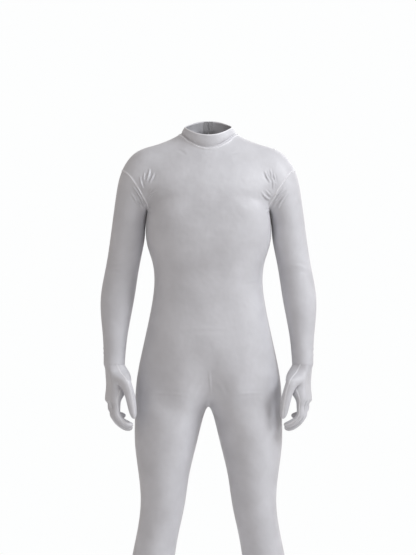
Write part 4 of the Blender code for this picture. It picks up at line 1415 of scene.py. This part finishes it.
def cloth_material():
    """Light grey satin knit: fine ribs down the cloth, a soft sheen, a faint cloudy relief whose noise also paints
    soft patches of sheen and shade into the colour, and a painted highlight along the seams.
    """
    nodes = Nodes("satin_knit")
    across, along = nodes.cloth_axes()
    place = nodes.place()
    # One cloudy noise serves twice: as a soft relief through the bump, and as painted sheen and shade in the colour.
    relief_and_painted_light_cloud = nodes.node("ShaderNodeTexNoise", Vector=place, Scale=11.0, Detail=3.0, Roughness=0.55).outputs[0]
    mottle = nodes.node("ShaderNodeTexNoise", Vector=place, Scale=160.0, Detail=2.0, Roughness=0.6).outputs[0]
    ribs = nodes.math("SINE", nodes.math("MULTIPLY", across, 2 * math.pi / RIB_WIDTH))
    loops = nodes.math("SINE", nodes.math("MULTIPLY", along, 2 * math.pi / LOOP_HEIGHT))
    rows = nodes.math("MULTIPLY", nodes.math("MULTIPLY_ADD", loops, 0.35, 0.65), ribs)
    soft = nodes.node("ShaderNodeBump", Strength=1.0, Distance=0.0045, Height=relief_and_painted_light_cloud)
    knit = nodes.node("ShaderNodeBump", Strength=0.6, Distance=0.00006, Height=rows, Normal=soft.outputs[0])
    # Painted sheen and painted shade: the cloud's noise lightens and darkens the colour in soft patches.
    colour = nodes.mix(nodes.between(relief_and_painted_light_cloud, 0.3, 0.7), (0.505, 0.505, 0.532, 1), (0.598, 0.600, 0.632, 1))
    colour = nodes.mix(nodes.math("MULTIPLY", mottle, 0.12), colour, (0.46, 0.46, 0.475, 1))
    seam = nodes.node("ShaderNodeAttribute", {"attribute_name": "seam"}).outputs["Fac"]
    # A painted highlight along each seam: the colour turns pale within a couple of millimetres of it.
    colour = nodes.mix(nodes.between(seam, 0.0012, 0.0026, 0.8, 0.0), colour, (0.80, 0.80, 0.83, 1))
    nodes.set(Base_Color=colour, Normal=knit.outputs[0], Roughness=0.50, IOR=1.5)
    nodes.set(Sheen_Weight=0.35, Sheen_Roughness=0.3, Specular_IOR_Level=0.7)
    return nodes.material


def thread_material(name, dark, light):
    """Spun thread."""
    nodes = Nodes(name)
    twist = nodes.node("ShaderNodeTexNoise", Vector=nodes.place(), Scale=3200.0, Detail=1.0).outputs[0]
    bump = nodes.node("ShaderNodeBump", Strength=0.5, Distance=0.00005, Height=twist)
    nodes.set(Base_Color=nodes.mix(twist, dark, light), Normal=bump.outputs[0])
    nodes.set(Roughness=0.5, Sheen_Weight=0.3)
    return nodes.material


def tape_material():
    """Grey twill tape."""
    nodes = Nodes("zip_tape_twill")
    across, along = nodes.cloth_axes()
    twill = nodes.math("SINE", nodes.math("MULTIPLY", nodes.math("ADD", across, along), 2 * math.pi / TWILL_WIDTH))
    bump = nodes.node("ShaderNodeBump", Strength=0.7, Distance=0.0001, Height=twill)
    colour = nodes.mix(nodes.between(twill, -1.0, 1.0), (0.40, 0.40, 0.42, 1), (0.48, 0.48, 0.50, 1))
    nodes.set(Base_Color=colour, Normal=bump.outputs[0], Roughness=0.8, Sheen_Weight=0.2)
    return nodes.material


def nickel_material():
    """Nickel plate, lightly rubbed."""
    nodes = Nodes("nickel")
    rubbed = nodes.node("ShaderNodeTexNoise", Vector=nodes.place(), Scale=420.0, Detail=4.0, Roughness=0.7)
    bump = nodes.node("ShaderNodeBump", Strength=0.25, Distance=0.00004, Height=rubbed.outputs[0])
    shine = nodes.between(rubbed.outputs[0], 0.3, 0.7, 0.22, 0.38)
    colour = nodes.mix(rubbed.outputs[0], (0.56, 0.56, 0.58, 1), (0.66, 0.66, 0.67, 1))
    nodes.set(Base_Color=colour, Metallic=1.0, Roughness=shine, Normal=bump.outputs[0])
    return nodes.material


# Floor, light and camera

def floor_material():
    """Plain pale grey, even all over."""
    nodes = Nodes("floor")
    nodes.set(Base_Color=(0.86, 0.86, 0.865, 1), Roughness=0.7)
    return nodes.material


def add_floor():
    rings, turns = 24, 96
    places, faces = [(0, 0, 0)], []
    for ring in range(1, rings + 1):
        for turn in range(turns):
            angle = 2 * math.pi * turn / turns
            radius = 1.9 * ring / rings
            places.append((radius * math.cos(angle), radius * math.sin(angle), 0))
    for turn in range(turns):
        after = (turn + 1) % turns
        faces.append((0, 1 + turn, 1 + after))
        for ring in range(rings - 1):
            inner, outer = 1 + ring * turns, 1 + (ring + 1) * turns
            faces.append((inner + turn, outer + turn, outer + after, inner + after))
    floor = linked("floor", places, faces)
    floor.location.z = CAD_BOX[0].z - 0.0005
    floor.data.materials.append(floor_material())


def add_light(name, place, target, size, power, colour):
    lamp = bpy.data.lights.new(name, "AREA")
    lamp.shape = "DISK"
    lamp.size = size
    lamp.energy = power
    lamp.color = colour
    made = bpy.data.objects.new(name, lamp)
    bpy.context.scene.collection.objects.link(made)
    made.location = place
    made.rotation_euler = (Vector(target) - Vector(place)).to_track_quat("-Z", "Y").to_euler()
    return made


ROOM_LIGHT = 0.51


def add_world():
    """An even pale room. The camera sees it white."""
    world = bpy.data.worlds.new("studio")
    bpy.context.scene.world = world
    world.use_nodes = True
    tree = world.node_tree
    tree.nodes.clear()
    out = tree.nodes.new("ShaderNodeOutputWorld")
    mix = tree.nodes.new("ShaderNodeMixShader")
    room = tree.nodes.new("ShaderNodeBackground")
    seen = tree.nodes.new("ShaderNodeBackground")
    path = tree.nodes.new("ShaderNodeLightPath")
    room.inputs["Color"].default_value = (1.0, 0.94, 0.90, 1)
    room.inputs["Strength"].default_value = ROOM_LIGHT
    seen.inputs["Color"].default_value = (0.984, 0.990, 0.990, 1)
    seen.inputs["Strength"].default_value = 1.0
    tree.links.new(path.outputs["Is Camera Ray"], mix.inputs[0])
    tree.links.new(room.outputs[0], mix.inputs[1])
    tree.links.new(seen.outputs[0], mix.inputs[2])
    tree.links.new(mix.outputs[0], out.inputs[0])


def add_studio():
    add_floor()
    add_world()
    middle = (0, 0, -0.55)
    add_light("key", (2.9, -1.3, 2.0), middle, 1.5, 90, (0.94, 0.965, 1.0))
    add_light("low", (3.4, -1.6, -0.9), middle, 0.9, 13, (0.92, 0.96, 1.0))
    add_light("top", (0.7, -2.4, 2.5), middle, 1.2, 26, (0.90, 0.95, 1.0))
    add_light("back", (1.6, 3.1, 1.2), middle, 2.0, 30, (0.97, 0.98, 1.0))
    scene = bpy.context.scene
    scene.view_settings.view_transform = "Standard"
    scene.view_settings.look = "None"


def add_camera():
    data = bpy.data.cameras.new("camera")
    data.sensor_fit = "VERTICAL"
    data.sensor_height = 24
    data.lens = 24 * CAMERA_DISTANCE / PICTURE_HEIGHT
    camera = bpy.data.objects.new("camera", data)
    bpy.context.scene.collection.objects.link(camera)
    camera.location = (CAMERA_X, -CAMERA_DISTANCE, CAMERA_Z)
    camera.rotation_euler = (math.radians(90), 0, 0)
    bpy.context.scene.camera = camera


add_camera()
add_studio()
main()
